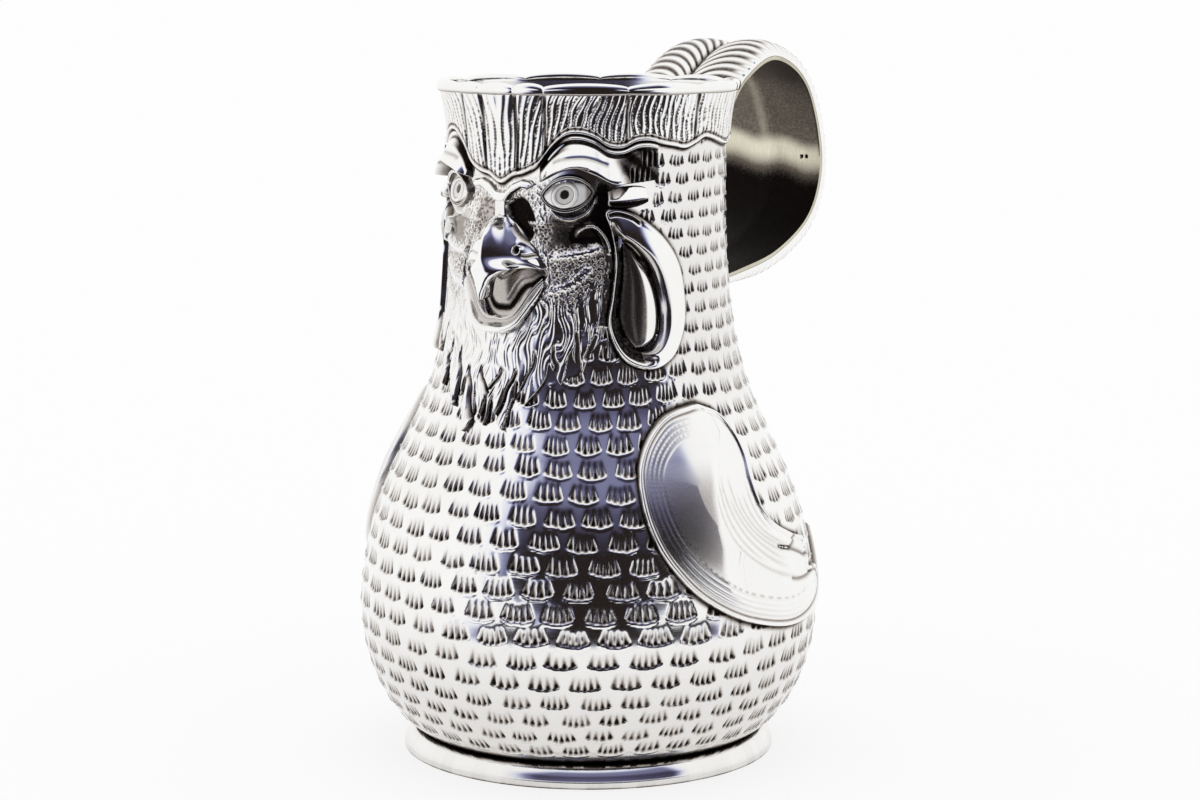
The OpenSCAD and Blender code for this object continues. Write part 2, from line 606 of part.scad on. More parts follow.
// A sheet swept along the tail between an outer and an inner row of strands. Each strand has
// [distance across, distance out from the line, share of the lobes' height, drop below the lobes].
module sweep(outer, inner) {
    n = tail_steps;
    k = len(outer);
    m = 2 * k;
    strands = concat(outer, [for (j = [k - 1:-1:0]) inner[j]]);
    function height(s, t) = s[1] + s[2] * (lobes_h(t) - s[3]);
    points = [for (s = strands)
        let (t0 = seat_t(s[0], height(s, 0), 0), t1 = seat_t(s[0], height(s, 1), 1))
        for (i = [0:n]) let (t = blend(t0, t1, i / n)) tail_point(t, s[0], height(s, t))];
    function at(i, j) = (j % m) * (n + 1) + i;
    skin = [for (i = [0:n - 1], j = [0:m - 1]) each [
        [at(i, j), at(i + 1, j + 1), at(i + 1, j)],
        [at(i, j), at(i, j + 1), at(i + 1, j + 1)]]];
    ends = [for (j = [0:k - 2]) each [
        [at(0, j), at(0, m - 1 - j), at(0, m - 2 - j)],
        [at(0, j), at(0, m - 2 - j), at(0, j + 1)],
        [at(n, j), at(n, m - 2 - j), at(n, m - 1 - j)],
        [at(n, j), at(n, j + 1), at(n, m - 2 - j)]]];
    polyhedron(points = points, faces = concat(skin, ends), convexity = 10);
}

module tail_shell() {
    half = tail_w / 2;
    outer = [for (p = section) [half * p[0], 0, p[1], 0]];
    inner = [for (p = section) [(half - tail_t) * p[0], 0, p[1], tail_t]];
    color(silver) sweep(outer, inner);
}

module tail_plate() {
    half = tail_w / 2;
    columns = 6;
    vent_z = blend(tail_low, tail_high, 0.51);
    vent_x = half * 0.68;
    strips = [for (j = [0:columns]) blend(half, -half, j / columns)];
    outer = [for (x = strips) [x, -seam, 0, 0]];
    inner = [for (x = strips) [x, -seam - plate_t, 0, 0]];
    color(dark_silver) difference() {
        sweep(outer, inner);
        for (k = [-1, 1]) translate([vent_x + k * vent_pitch / 2, tail_reach, vent_z])
            rotate([90, 0, 0]) cylinder(d = vent_d, h = 8 * plate_t, center = true);
    }
}

body_shell();
foot_ring();
rim_lip();
crest();
brow_comb();
eyelids();  // eyelids_left
on_right() eyelids();  // eyelids_right
eyeball();  // eyeball_left
on_right() eyeball();  // eyeball_right
ear_bar();  // ear_bar_left
on_right() ear_bar();  // ear_bar_right
upper_beak();
lower_beak();
cheek();  // cheek_left
on_right() cheek();  // cheek_right
beard();
ear_lobe();  // ear_lobe_left
on_right() ear_lobe();  // ear_lobe_right
ear_leaf();  // ear_leaf_left
on_right() ear_leaf();  // ear_leaf_right
wing();  // wing_left
on_right() wing();  // wing_right
tail_shell();
tail_plate();
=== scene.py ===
"""Looks of a wine jug in raised and chased silver, shaped as a rooster.

Every piece is a fine mesh over the solid of the same place. Sizes are in millimetres and degrees until
Sheet.build writes them in metres. The face looks along -Y, the tail handle stands at +Y.
"""

from __future__ import annotations

import logging
import math
from dataclasses import dataclass
from enum import Enum
from typing import Sequence

import bpy
import numpy as np
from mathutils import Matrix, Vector

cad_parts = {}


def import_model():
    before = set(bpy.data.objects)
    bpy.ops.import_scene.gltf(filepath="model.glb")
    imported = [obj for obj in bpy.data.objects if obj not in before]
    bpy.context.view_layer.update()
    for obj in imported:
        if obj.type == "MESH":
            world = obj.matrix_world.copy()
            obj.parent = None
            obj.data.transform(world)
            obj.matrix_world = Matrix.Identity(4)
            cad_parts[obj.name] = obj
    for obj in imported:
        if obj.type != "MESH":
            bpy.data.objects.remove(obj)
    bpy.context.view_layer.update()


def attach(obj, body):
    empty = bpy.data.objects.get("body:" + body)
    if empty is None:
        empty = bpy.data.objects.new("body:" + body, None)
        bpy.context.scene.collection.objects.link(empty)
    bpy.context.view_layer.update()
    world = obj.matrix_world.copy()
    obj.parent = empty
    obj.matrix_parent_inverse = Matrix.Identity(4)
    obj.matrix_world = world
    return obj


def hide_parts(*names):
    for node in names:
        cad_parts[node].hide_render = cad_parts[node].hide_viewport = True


Array = np.ndarray
Colour = tuple[float, float, float]
MM = 0.001
# share of the soot and painted shade kept on the right side, which is painted lighter as the lit side
RIGHT_SOOT_AND_SHADE = 0.6
log = logging.getLogger("jug")


def blend(a: Array | float, b: Array | float, t: Array | float) -> Array | float:
    """Value between a and b at share t."""
    return a + (b - a) * t


def bump(t: Array | float) -> Array:
    """Half a sine wave over 0 to 1, zero outside."""
    return np.sin(np.pi * np.clip(t, 0, 1))


def rise(low: float, high: float, x: Array) -> Array:
    """Smooth step from 0 at low to 1 at high."""
    t = np.clip((x - low) / (high - low), 0, 1)
    return t * t * (3 - 2 * t)


def bell(x: Array, width: float) -> Array:
    """Bell of height 1 round x = 0."""
    return np.exp(-((x / width) ** 2))


def spot(x: Array, y: Array, place: Sequence, size: Sequence = (1, 1)) -> Array:
    """Distance from a place, counted in a size of its own along each axis."""
    return np.hypot((x - place[0]) / size[0], (y - place[1]) / size[1])


def within(x: Array, y: Array, box: Sequence) -> Array:
    """True inside a box that is given by its least and greatest x and y."""
    return (x > box[0]) & (x < box[1]) & (y > box[2]) & (y < box[3])


def spline(a: Array, b: Array, c: Array, d: Array, f: Array) -> Array:
    """Smooth curve from b to c at share f, where a comes before them and d after."""
    return b + f * (c - a) / 2 + f * f * (2 * a - 5 * b + 4 * c - d) / 2 + f**3 * (3 * b - a - 3 * c + d) / 2


def curve(points: Sequence, t: Array, level: bool = False) -> Array:
    """Smooth curve through evenly spaced values or points.

    Args:
        points: values, or points of any dimension.
        t: places along the curve, 0 to 1.
        level: start and end with no slope.

    Returns:
        The values, with one more axis than t where the points have one.
    """
    p = np.asarray(points, float)
    n = len(p) - 1
    x = np.clip(t, 0, 1) * n
    i = np.minimum(np.floor(x).astype(int), n - 1)
    f = x - i
    q = np.concatenate([p[1:2] if level else p[:1], p, p[n - 1 : n] if level else p[n:]])
    f = f[..., None] if p.ndim > 1 else f
    return spline(q[i], q[i + 1], q[i + 2], q[i + 3], f)


def ring_curve(points: Sequence, t: Array) -> Array:
    """The same on a closed curve, where the last point is followed by the first.

    Args:
        points: evenly spaced points.
        t: places along the curve, 0 to 1.

    Returns:
        The points at those places.
    """
    p = np.asarray(points, float)
    n = len(p)
    x = t * n
    i = np.floor(x).astype(int)
    f = (x - i)[..., None]
    return spline(*(p[(i + k) % n] for k in (-1, 0, 1, 2)), f)


def chance(i: Array, j: Array | float = 0, seed: float = 0) -> Array:
    """Repeatable random number from 0 to 1 for each pair of whole numbers."""
    x = np.sin(np.asarray(i) * 12.9898 + np.asarray(j) * 78.233 + seed * 37.719) * 43758.5453
    return x - np.floor(x)


def path_distance(x: Array, y: Array, path: Sequence, closed: bool = False, steps: int = 80) -> tuple[Array, Array]:
    """Distance of points from a smooth line.

    Args:
        x: first coordinates of the points.
        y: second coordinates.
        path: points the line goes through.
        closed: the line ends where it starts.
        steps: straight pieces the line is cut into.

    Returns:
        The distances, and the share of the line's length at the nearest place.
    """
    t = np.linspace(0, 1, steps + 1)
    p = ring_curve(path, t) if closed else curve(path, t)
    best = np.full(x.shape, np.inf)
    place = np.zeros(x.shape)
    for k, (a, b) in enumerate(zip(p[:-1], p[1:])):
        d = b - a
        f = np.clip(((x - a[0]) * d[0] + (y - a[1]) * d[1]) / max(d @ d, 1e-12), 0, 1)
        r = np.hypot(x - a[0] - f * d[0], y - a[1] - f * d[1])
        nearer = r < best
        best = np.where(nearer, r, best)
        place = np.where(nearer, (k + f) / steps, place)
    return best, place


def line_cut(x: Array, y: Array, path: Sequence, width: float, taper: bool = True) -> Array:
    """Depth share of a line cut along a path, 1 in its middle; a tapered line thins out at both ends."""
    d, t = path_distance(x, y, path)
    return bell(d, width) * (np.minimum(1, 4 * bump(t) + 0.1) if taper else 1)


def punched(x: Array, y: Array, spacing: float, size: float, seed: float = 0) -> Array:
    """Depth share of scattered round punch marks.

    Args:
        x: first coordinates in millimetres.
        y: second coordinates.
        spacing: mean distance between two marks.
        size: radius of a mark.
        seed: number of the pattern.

    Returns:
        1 in the middle of a mark, 0 between marks.
    """
    out = np.zeros(np.broadcast(x, y).shape)
    for layer in range(2):
        i, j = np.floor(x / spacing + layer * 0.5), np.floor(y / spacing + layer * 0.5)
        cx = (i + 0.5 - layer * 0.5 + 0.55 * (chance(i, j, seed + layer) - 0.5)) * spacing
        cy = (j + 0.5 - layer * 0.5 + 0.55 * (chance(j, i, seed + 5 + layer) - 0.5)) * spacing
        r = size * (0.7 + 0.5 * chance(i, j, seed + 9 + layer))
        mark = np.clip(1 - ((x - cx) ** 2 + (y - cy) ** 2) / r**2, 0, 1)
        out = np.maximum(out, mark * (chance(i, j, seed + 3 + layer) > 0.25))
    return out


def filled(x: Array, y: Array, path: Sequence, soft: float) -> Array:
    """Inside of a closed smooth line, with a soft edge.

    Args:
        x: first coordinates of the points.
        y: second coordinates.
        path: points the line goes through.
        soft: half the width of the edge.

    Returns:
        1 inside the line and 0 outside.
    """
    p = ring_curve(path, np.linspace(0, 1, 81))
    odd = np.zeros(x.shape, bool)
    for a, b in zip(p[:-1], p[1:]):
        if a[1] != b[1]:
            odd ^= ((a[1] > y) != (b[1] > y)) & (x < a[0] + (y - a[1]) * (b[0] - a[0]) / (b[1] - a[1]))
    d, _ = path_distance(x, y, path, closed=True)
    return rise(-soft, soft, np.where(odd, d, -d))


@dataclass(frozen=True)
class Jug:
    """Sizes of the body that every other piece follows, as in the solids."""

    height: float = 200
    belly_r: float = 68.6
    belly_z: float = 45
    neck_r: float = 40.8
    mouth_r: float = 43.3
    flare_h: float = 30
    wall: float = 1.1
    foot_r: float = 55.8
    foot_h: float = 6.6
    foot_seat_r: float = 50.4
    lip_h: float = 1.9
    crest_drop: float = 28.2
    crest_t: float = 0.9
    crest_flare: float = 0.5
    eye_drop: float = 30.5
    eye_h: float = 10.8
    beak_w: float = 27.6
    beak_h: float = 29.5
    lobe_w: float = 23.8
    lobe_h: float = 45.9
    lobe_s: float = 31
    seam: float = 0.12
    gap: float = 0.35
    shoulder: tuple[float, ...] = (1, 0.955, 0.86, 0.705, 0.495, 0.29, 0.15, 0.07, 0.027, 0.007, 0)
    crest_edge: tuple[float, ...] = (
        1, 0.926, 0.89, 0.809, 0.628, 0.511, 0.493, 0.535, 0.624, 0.635, 0.574,
        0.567, 0.603, 0.628, 0.652, 0.61, 0.553, 0.571, 0.606, 0.638, 0.649, 0.617,
        0.585, 0.596, 0.617, 0.638, 0.649, 0.617, 0.585, 0.606, 0.628, 0.635, 0.638,
    )  # fmt: skip
    lock_ends: tuple[float, ...] = (-8, 8, 20, 52, 84, 116, 148, 180)

    @property
    def waist_z(self) -> float:
        """Height at which the neck begins to flare."""
        return self.height - self.flare_h

    @property
    def top(self) -> float:
        """Height of the wall's upper edge, under the lip."""
        return self.height - self.lip_h

    @property
    def eye_z(self) -> float:
        """Height of the line through the eyes."""
        return self.height - self.eye_drop

    @property
    def beak_top(self) -> float:
        """Height of the beak's root."""
        return self.eye_z - self.eye_h * 0.58

    @property
    def lobe_z(self) -> float:
        """Height of the ear lobes' lower end."""
        return self.eye_z - self.eye_h * 0.38 - self.lobe_h

    def radius(self, z: Array | float) -> Array:
        """Radius of the wall's outside at a height.

        Args:
            z: heights.

        Returns:
            The radii.
        """
        z = np.asarray(z, float)
        t = np.clip((z - self.foot_h) / (self.belly_z - self.foot_h), 0, 1)
        low = blend(self.foot_seat_r, self.belly_r, (1 - (1 - t) ** 2) ** (2 / 3))
        share = curve(self.shoulder, (z - self.belly_z) / (self.waist_z - self.belly_z), level=True)
        middle = blend(self.neck_r, self.belly_r, share)
        high = blend(self.neck_r, self.mouth_r, np.clip((z - self.waist_z) / self.flare_h, 0, None) ** 3)
        return np.where(z < self.belly_z, low, np.where(z < self.waist_z, middle, high))

    def slope(self, z: Array) -> tuple[Array, Array]:
        """Outward direction square to the wall, as its radial and upright parts.

        Args:
            z: heights.

        Returns:
            Both parts.
        """
        step = 0.05
        dr = self.radius(z + step) - self.radius(z - step)
        n = np.hypot(dr, 2 * step)
        return 2 * step / n, -dr / n

    def lay(self, angle: Array, z: Array, lift: Array | float) -> Array:
        """Points at an angle from the face and a height, lifted straight away from the axis.

        Args:
            angle: angles in degrees.
            z: heights.
            lift: distances from the wall.

        Returns:
            The points.
        """
        a = np.radians(angle)
        r = self.radius(z) + lift
        return np.stack(np.broadcast_arrays(r * np.sin(a), -r * np.cos(a), z), -1)

    def chase(self, angle: Array, z: Array, lift: Array | float) -> Array:
        """Points lifted square to the wall.

        Args:
            angle: angles in degrees.
            z: heights on the wall.
            lift: distances from the wall.

        Returns:
            The points.
        """
        a = np.radians(angle)
        out, up = self.slope(z)
        r = self.radius(z) + lift * out
        return np.stack(np.broadcast_arrays(r * np.sin(a), -r * np.cos(a), z + lift * up), -1)

    def angle(self, s: Array | float) -> Array | float:
        """Angle of a length along the neck."""
        return np.degrees(s / self.neck_r)

    def belly_angle(self, s: Array | float) -> Array | float:
        """Angle of a length along the belly."""
        return np.degrees(s / self.belly_r)

    @staticmethod
    def turn(angle: Array) -> Array:
        """Angle from the middle of the face, the same on both sides."""
        b = np.abs(angle) % 360
        return np.where(b > 180, 360 - b, b)

    def crest_low(self, angle: Array) -> Array:
        """Height of the crest's lower edge."""
        return self.height - self.crest_drop * curve(self.crest_edge, self.turn(angle) / 180, level=True)

    def lock(self, angle: Array) -> tuple[Array, Array, Array]:
        """Lock of the crest at an angle.

        Args:
            angle: angles in degrees.

        Returns:
            The lock's number, the place over its width, 0 to 1, and its width in degrees.
        """
        b = self.turn(angle)
        ends = np.array(self.lock_ends)
        k = np.clip(np.searchsorted(ends, b, side="right") - 1, 0, len(ends) - 2)
        width = ends[k + 1] - ends[k]
        return k, (b - ends[k]) / width, width

    def swell(self, angle: Array) -> Array:
        """Swelling of the lock at an angle, from 0 between two locks to 1 in the middle of one."""
        return np.sqrt(np.maximum(bump(self.lock(angle)[1]), 0))

    def crest_lift(self, angle: Array, t: Array) -> Array:
        """Height of the crest over the wall at an angle and a share of its own height."""
        s = self.swell(angle)
        return self.crest_t * (0.7 + 0.3 * s) + self.crest_flare * s * t**3

    def outer_r(self, z: Array) -> Array:
        """Radius that clears the crest and the lip.

        Args:
            z: heights.

        Returns:
            The radii.
        """
        bead = 0.1 * (self.wall + self.crest_t + self.crest_flare)
        share = np.clip((z - self.waist_z) / self.flare_h, 0, None) ** 2
        return self.radius(np.minimum(z, self.height)) + self.crest_t + (self.crest_flare + bead) * share

    def lobe_place(self, p: Array) -> Array:
        """Place along the neck and height of a point given in shares of the ear lobe."""
        return np.stack([self.lobe_s + self.lobe_w * p[..., 0], self.lobe_z + self.lobe_h * p[..., 1]], -1)


class Sheet:
    """Grids of points that become one mesh, each point with a share of soot and painted shade in its hollow."""

    def __init__(self, name: str) -> None:
        """Starts an empty sheet.

        Args:
            name: name of the piece it becomes.
        """
        self.name = name
        self.points: list[Array] = []
        self.soot: list[Array] = []
        self.quads: list[Array] = []
        self.count = 0

    def grid(
        self,
        points: Array,
        soot: Array | float = 0.0,
        around: bool = False,
        across: bool = False,
        core: Array | None = None,
        inwards: bool = False,
        keep: Array | None = None,
    ) -> Sheet:
        """Adds a grid of points.

        Args:
            points: grid of points in millimetres.
            soot: soot and painted shade at each point, 0 to 1.
            around: the first axis closes on itself.
            across: the second axis closes on itself.
            core: points that the surface faces away from; the jug's axis if left out.
            inwards: the surface faces the core instead.
            keep: grid of True where the surface is wanted.

        Returns:
            The sheet itself.
        """
        n = np.arange(points.shape[0] * points.shape[1]).reshape(points.shape[:2]) + self.count
        if around:
            n = np.concatenate([n, n[:1]], 0)
        if across:
            n = np.concatenate([n, n[:, :1]], 1)
        quads = np.stack([n[:-1, :-1], n[1:, :-1], n[1:, 1:], n[:-1, 1:]], -1).reshape(-1, 4)
        flat = points.reshape(-1, 3)
        if keep is not None:
            quads = quads[keep.reshape(-1)[quads - self.count].any(1)]
        a, b, c, d = (flat[quads[:, k] - self.count] for k in range(4))
        normal = np.cross(c - a, d - b)
        centre = (a + b + c + d) / 4
        inside = centre * [0, 0, 1] if core is None else core.reshape(-1, 3)[quads[:, 0] - self.count]
        if (np.sum(normal * (centre - inside)) < 0) != inwards:
            quads = quads[:, ::-1]
        self.points.append(flat)
        self.soot.append(np.broadcast_to(np.asarray(soot, float), points.shape[:2]).reshape(-1))
        self.quads.append(quads)
        self.count += len(flat)
        return self

    def mirrored(self, name: str) -> Sheet:
        """The same sheet on the other side of the face, with less soot and painted shade, so that side is painted
        lighter as the lit side.

        Args:
            name: name of the new piece.

        Returns:
            The new sheet.
        """
        other = Sheet(name)
        other.points = [p * [-1, 1, 1] for p in self.points]
        other.quads = [q[:, ::-1] for q in self.quads]
        other.soot, other.count = [RIGHT_SOOT_AND_SHADE * soot for soot in self.soot], self.count
        return other

    def build(self, crease: float = 0.0) -> bpy.types.Object:
        """Makes the mesh, in metres.

        Args:
            crease: angle in degrees above which an edge stays sharp; 0 for none.

        Returns:
            The new object, linked to the scene.
        """
        points, quads = np.concatenate(self.points) * MM, np.concatenate(self.quads)
        used = np.zeros(len(points), bool)
        used[quads.reshape(-1)] = True
        quads = (np.cumsum(used) - 1)[quads]
        mesh = bpy.data.meshes.new(self.name)
        mesh.vertices.add(int(used.sum()))
        mesh.vertices.foreach_set("co", points[used].astype(np.float32).reshape(-1))
        mesh.loops.add(quads.size)
        mesh.loops.foreach_set("vertex_index", quads.astype(np.int32).reshape(-1))
        mesh.polygons.add(len(quads))
        mesh.polygons.foreach_set("loop_start", np.arange(0, quads.size, 4, dtype=np.int32))
        mesh.polygons.foreach_set("use_smooth", np.ones(len(quads), bool))
        soot = mesh.attributes.new("soot", "FLOAT", "POINT")
        values = np.clip(np.concatenate(self.soot)[used], 0, 1)
        soot.data.foreach_set("value", values.astype(np.float32))
        mesh.update(calc_edges=True)
        mesh.validate()
        if crease:
            mesh.set_sharp_from_angle(angle=math.radians(crease))
        piece = bpy.data.objects.new(self.name, mesh)
        bpy.context.scene.collection.objects.link(piece)
        return piece


class Shade:
    """A shader socket that Python's operators work on, each adding its Math node."""

    def __init__(self, paint: Paint, socket: bpy.types.NodeSocket) -> None:
        """Wraps a socket of that node tree."""
        self.paint, self.socket = paint, socket

    def _math(self, operation: str, *values: Shade | float, clamp: bool = False) -> Shade:
        """Result of a Math node."""
        return self.paint.node("ShaderNodeMath", {"operation": operation, "use_clamp": clamp}, dict(enumerate(values)))

    def __add__(self, other: Shade | float) -> Shade:
        """Sum."""
        return self._math("ADD", self, other)

    def __radd__(self, other: float) -> Shade:
        """Sum."""
        return self._math("ADD", other, self)

    def __sub__(self, other: Shade | float) -> Shade:
        """Difference."""
        return self._math("SUBTRACT", self, other)

    def __rsub__(self, other: float) -> Shade:
        """Difference."""
        return self._math("SUBTRACT", other, self)

    def __mul__(self, other: Shade | float) -> Shade:
        """Product."""
        return self._math("MULTIPLY", self, other)

    def __rmul__(self, other: float) -> Shade:
        """Product."""
        return self._math("MULTIPLY", other, self)

    def __pow__(self, other: float) -> Shade:
        """Power."""
        return self._math("POWER", self, other)

    def clip(self) -> Shade:
        """Value kept between 0 and 1."""
        return self._math("ADD", self, 0.0, clamp=True)

    def rise(self, low: float, high: float) -> Shade:
        """Smooth step from 0 at low to 1 at high."""
        settings = {"interpolation_type": "SMOOTHSTEP"}
        return self.paint.node("ShaderNodeMapRange", settings, {0: self, 1: low, 2: high, 3: 0.0, 4: 1.0})


class Paint:
    """A node tree of a material or the world."""

    def __init__(self, owner: bpy.types.Material | bpy.types.World) -> None:
        """Empties the owner's node tree.

        Args:
            owner: material or world to paint.
        """
        owner.use_nodes = True
        self.tree = owner.node_tree
        self.tree.nodes.clear()

    def node(self, kind: str, settings: dict | None = None, values: dict | None = None, output: int | str = 0) -> Shade:
        """Adds a node.

        Args:
            kind: type of the node.
            settings: the node's own settings, set first; "stops" are a ramp's (place, colour) pairs.
            values: value or link of each input, by its name or number.
            output: name or number of the output that is wanted.

        Returns:
            That output.
        """
        node = self.tree.nodes.new(kind)
        for key, value in (settings or {}).items():
            if key == "stops":
                ramp = node.color_ramp
                while len(ramp.elements) < len(value):
                    ramp.elements.new(0.5)
                for stop, (place, colour) in zip(ramp.elements, value):
                    stop.position, stop.color = place, (*colour, 1)
            else:
                setattr(node, key, value)
        for key, value in (values or {}).items():
            if isinstance(value, Shade):
                self.tree.links.new(value.socket, node.inputs[key])
            else:
                node.inputs[key].default_value = value
        return Shade(self, node.outputs[output]) if node.outputs else None

    def parts(self, vector: Shade) -> list[Shade]:
        """The three parts of a vector."""
        outputs = self.node("ShaderNodeSeparateXYZ", {}, {0: vector}).socket.node.outputs
        return [Shade(self, output) for output in outputs]

    def angle(self, side: Shade, ahead: Shade) -> Shade:
        """Angle in degrees of a direction, from its part to the side and its part ahead."""
        return self.node("ShaderNodeMath", {"operation": "ARCTAN2"}, {0: side, 1: ahead}) * (180 / math.pi)

    def mix(self, factor: Shade | float, a: Shade | Colour, b: Shade | Colour) -> Shade:
        """Colour between a and b.

        Args:
            factor: share of b.
            a: first colour.
            b: second colour.

        Returns:
            The colour.
        """
        values = {0: factor}
        for key, colour in ((6, a), (7, b)):
            values[key] = colour if isinstance(colour, Shade) else (*colour, 1)
        return self.node("ShaderNodeMix", {"data_type": "RGBA"}, values, 2)

    def noise(self, where: Shade, scale: float, detail: float = 2.0, stretch: Colour = (1, 1, 1)) -> Shade:
        """Noise from 0 to 1 with about scale features to a metre, stretched along the axes."""
        place = self.node("ShaderNodeMapping", {}, {"Vector": where, "Scale": stretch})
        return self.node("ShaderNodeTexNoise", {}, {"Vector": place, "Scale": scale, "Detail": detail})


class Slot(Enum):
    """Material slots of the record."""

    CHASED = "chased_silver"
    POLISHED = "polished_silver"
    BRUSHED = "brushed_silver"


@dataclass(frozen=True)
class Finish:
    """A way of finishing silver: its tone, its gloss, and the soot and painted shade that lie in its hollows."""

    name: str
    slot: Slot
    tone: Colour = (0.93, 0.925, 0.91)
    gloss: float = 0.07
    film_and_shade_tone: Colour = (0.4, 0.355, 0.32)
    soot_and_shade_tone: Colour = (0.012, 0.009, 0.008)
    planish: float = 0.05
    scratch: float = 0.0015
    tarnish: float = 0.06
    tarnish_tone: Colour = (0.62, 0.57, 0.5)
    brushed: bool = False
    metal: float = 1.0
    cloud_scale: float = 45
    grain_scale: float = 1400
    hair_scale: float = 260
    planish_scale: float = 62
    dint_scale: float = 170
    patch_scale: float = 30

    def material(self) -> bpy.types.Material:
        """Makes the material.

        Returns:
            The material.
        """
        material = bpy.data.materials.new(self.name)
        paint = Paint(material)
        where = paint.node("ShaderNodeTexCoord", output="Object")
        # soot and painted shade, carried by each piece's mesh
        soot = paint.node("ShaderNodeAttribute", {"attribute_name": "soot"}, output="Fac")
        cloud = paint.noise(where, self.cloud_scale, 3)
        grain = paint.noise(where, self.grain_scale, 2)
        hair = paint.noise(where, self.hair_scale, 4, (14, 1, 1) if self.brushed else (1, 1, 14))
        dirt_and_shade = (soot * (0.75 + 0.5 * grain)).clip()
        stain = (cloud.rise(0.42, 0.75) * self.tarnish).clip()
        tone = paint.mix(stain, self.tone, self.tarnish_tone)
        if self.brushed:
            patch = paint.noise(where, self.patch_scale, 4, (1, 1, 1.6)).rise(0.35, 0.7)
            tone = paint.mix(patch * 0.35, tone, self.tarnish_tone)
        # the tone goes to a film colour and then to near black where soot and painted shade lie
        sooted_and_shaded = paint.mix((dirt_and_shade * 2.2).clip(), tone, self.film_and_shade_tone)
        colour = paint.mix(dirt_and_shade.rise(0.38, 0.92), sooted_and_shaded, self.soot_and_shade_tone)
        rough = self.gloss + 0.05 * stain + 0.38 * dirt_and_shade + (0.16 if self.brushed else 0.04) * hair.rise(0.3, 0.8)
        planish = paint.noise(where, self.planish_scale, 1) * self.planish
        dints = paint.noise(where, self.dint_scale, 2) * (self.planish * 0.2)
        relief = (planish + dints + hair * self.scratch + grain * (self.scratch * 0.6)) * MM
        normal = paint.node("ShaderNodeBump", {}, {"Height": relief, "Strength": 1.0, "Distance": 1.0})
        shader = paint.node(
            "ShaderNodeBsdfPrincipled",
            {},
            {"Base Color": colour, "Metallic": self.metal, "Roughness": rough.clip(), "Normal": normal},
        )
        paint.node("ShaderNodeOutputMaterial", {}, {"Surface": shader})
        return material


CHASED = Finish("Chased silver", Slot.CHASED, gloss=0.1, planish=0.06)
POLISHED = Finish("Polished silver", Slot.POLISHED, gloss=0.06, planish=0.035, scratch=0.001)
SATIN = Finish("Satin silver", Slot.POLISHED, gloss=0.16, planish=0.03, scratch=0.003)
FROSTED = Finish("Frosted silver", Slot.POLISHED, metal=0.5, gloss=0.35, planish=0.01, scratch=0.002)
BRIGHT = Finish("Bright spun silver", Slot.POLISHED, gloss=0.045, planish=0.01, scratch=0.0006)
BRUSHED = Finish(
    "Brushed tarnished silver",
    Slot.BRUSHED,
    tone=(0.86, 0.82, 0.66),
    gloss=0.24,
    film_and_shade_tone=(0.17, 0.145, 0.12),
    tarnish=0.45,
    tarnish_tone=(0.4, 0.35, 0.26),
    scratch=0.006,
    brushed=True,
)


class Bench:
    """Dresses pieces and puts them on the jug."""

    def __init__(self) -> None:
        """Starts with no material made."""
        self.materials: dict[str, bpy.types.Material] = {}

    def put(self, sheet: Sheet, finish: Finish, *nodes: str, crease: float = 0.0) -> bpy.types.Object:
        """Builds a sheet, gives it its finish and lets it stand for solids.

        Args:
            sheet: what to build.
            finish: its finish.
            nodes: names of the solids it stands for.
            crease: angle above which its edges stay sharp.

        Returns:
            The piece.
        """
        piece = sheet.build(crease)
        if finish.name not in self.materials:
            self.materials[finish.name] = finish.material()
        piece.data.materials.append(self.materials[finish.name])
        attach(piece, "root")
        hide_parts(*nodes)
        log.info("%s: %d faces, stands for %s", piece.name, len(piece.data.polygons), ", ".join(nodes))
        return piece

    def put_pair(self, sheet: Sheet, finish: Finish, node: str, crease: float = 0.0) -> None:
        """Puts a sheet on the left and its mirror image on the right.

        Args:
            sheet: the left piece.
            finish: finish of both.
            node: the solids' name without its side.
            crease: angle above which edges stay sharp.
        """
        base = sheet.name
        self.put(sheet.mirrored(base + "_right"), finish, node + "_right", crease=crease)
        sheet.name = base + "_left"
        self.put(sheet, finish, node + "_left", crease=crease)


def steps(count: int) -> int:
    """Number of grid steps, as given."""
    return count


def net(first: tuple, second: tuple, ring: bool = False) -> list[Array]:
    """Two grids of evenly spaced values.

    Args:
        first: lowest value, highest value and count along the first axis.
        second: the same along the second axis.
        ring: leave the first axis's last value out, because the grid closes on itself.

    Returns:
        The value of the first axis and that of the second, at every point of the grid.
    """
    u = np.linspace(first[0], first[1], steps(first[2]), endpoint=not ring)
    v = np.linspace(second[0], second[1], steps(second[2]))
    return np.meshgrid(u, v, indexing="ij")


def hair(s: Array, z: Array) -> tuple[Array, Array]:
    """Wavy chased hair of the cheeks and the beard.

    Args:
        s: places along the neck from the middle of the face.
        z: heights.

    Returns:
        Height of the hair, and soot with painted shade between it.
    """
    a = np.abs(s)
    inwards = 1 + 0.3 * np.clip((133 - z) / 30, 0, 1.2)
    flow = a * inwards + 1.1 * np.sin(z / 3.3 + a / 6 + 0.8 * np.sin(a / 3)) + 0.5 * np.sin(z / 1.9 - a / 2.6 + 1)
    flow += 0.35 * np.sin(a * 1.9 + z / 7) + 0.3 * np.sin(a * 0.9 - z / 4)
    v = flow / 1.3
    i = np.floor(v)
    strand = np.abs(np.sin(np.pi * v))
    nearest = np.round(v)
    place = z / 5.2 + 3 * chance(nearest, 0, 7)
    held = blend(0.1, 1, chance(nearest, np.floor(place), 2)) * bump(place - np.floor(place)) ** 0.7
    height = -0.26 * (1 - strand**1.1) * (0.25 + 0.75 * held) + 0.1 * (chance(i, 0, 4) - 0.5)
    return height * (1 + 0.8 * rise(17, 24, a)), 0.42 * held * (1 - strand) ** 1.5


@dataclass
class Part:
    """A sub-assembly of the jug."""

    jug: Jug

    def build(self, bench: Bench) -> None:
        """Makes the pieces and puts them on the bench.

        Args:
            bench: dresses the pieces and puts them in their places.
        """
        raise NotImplementedError


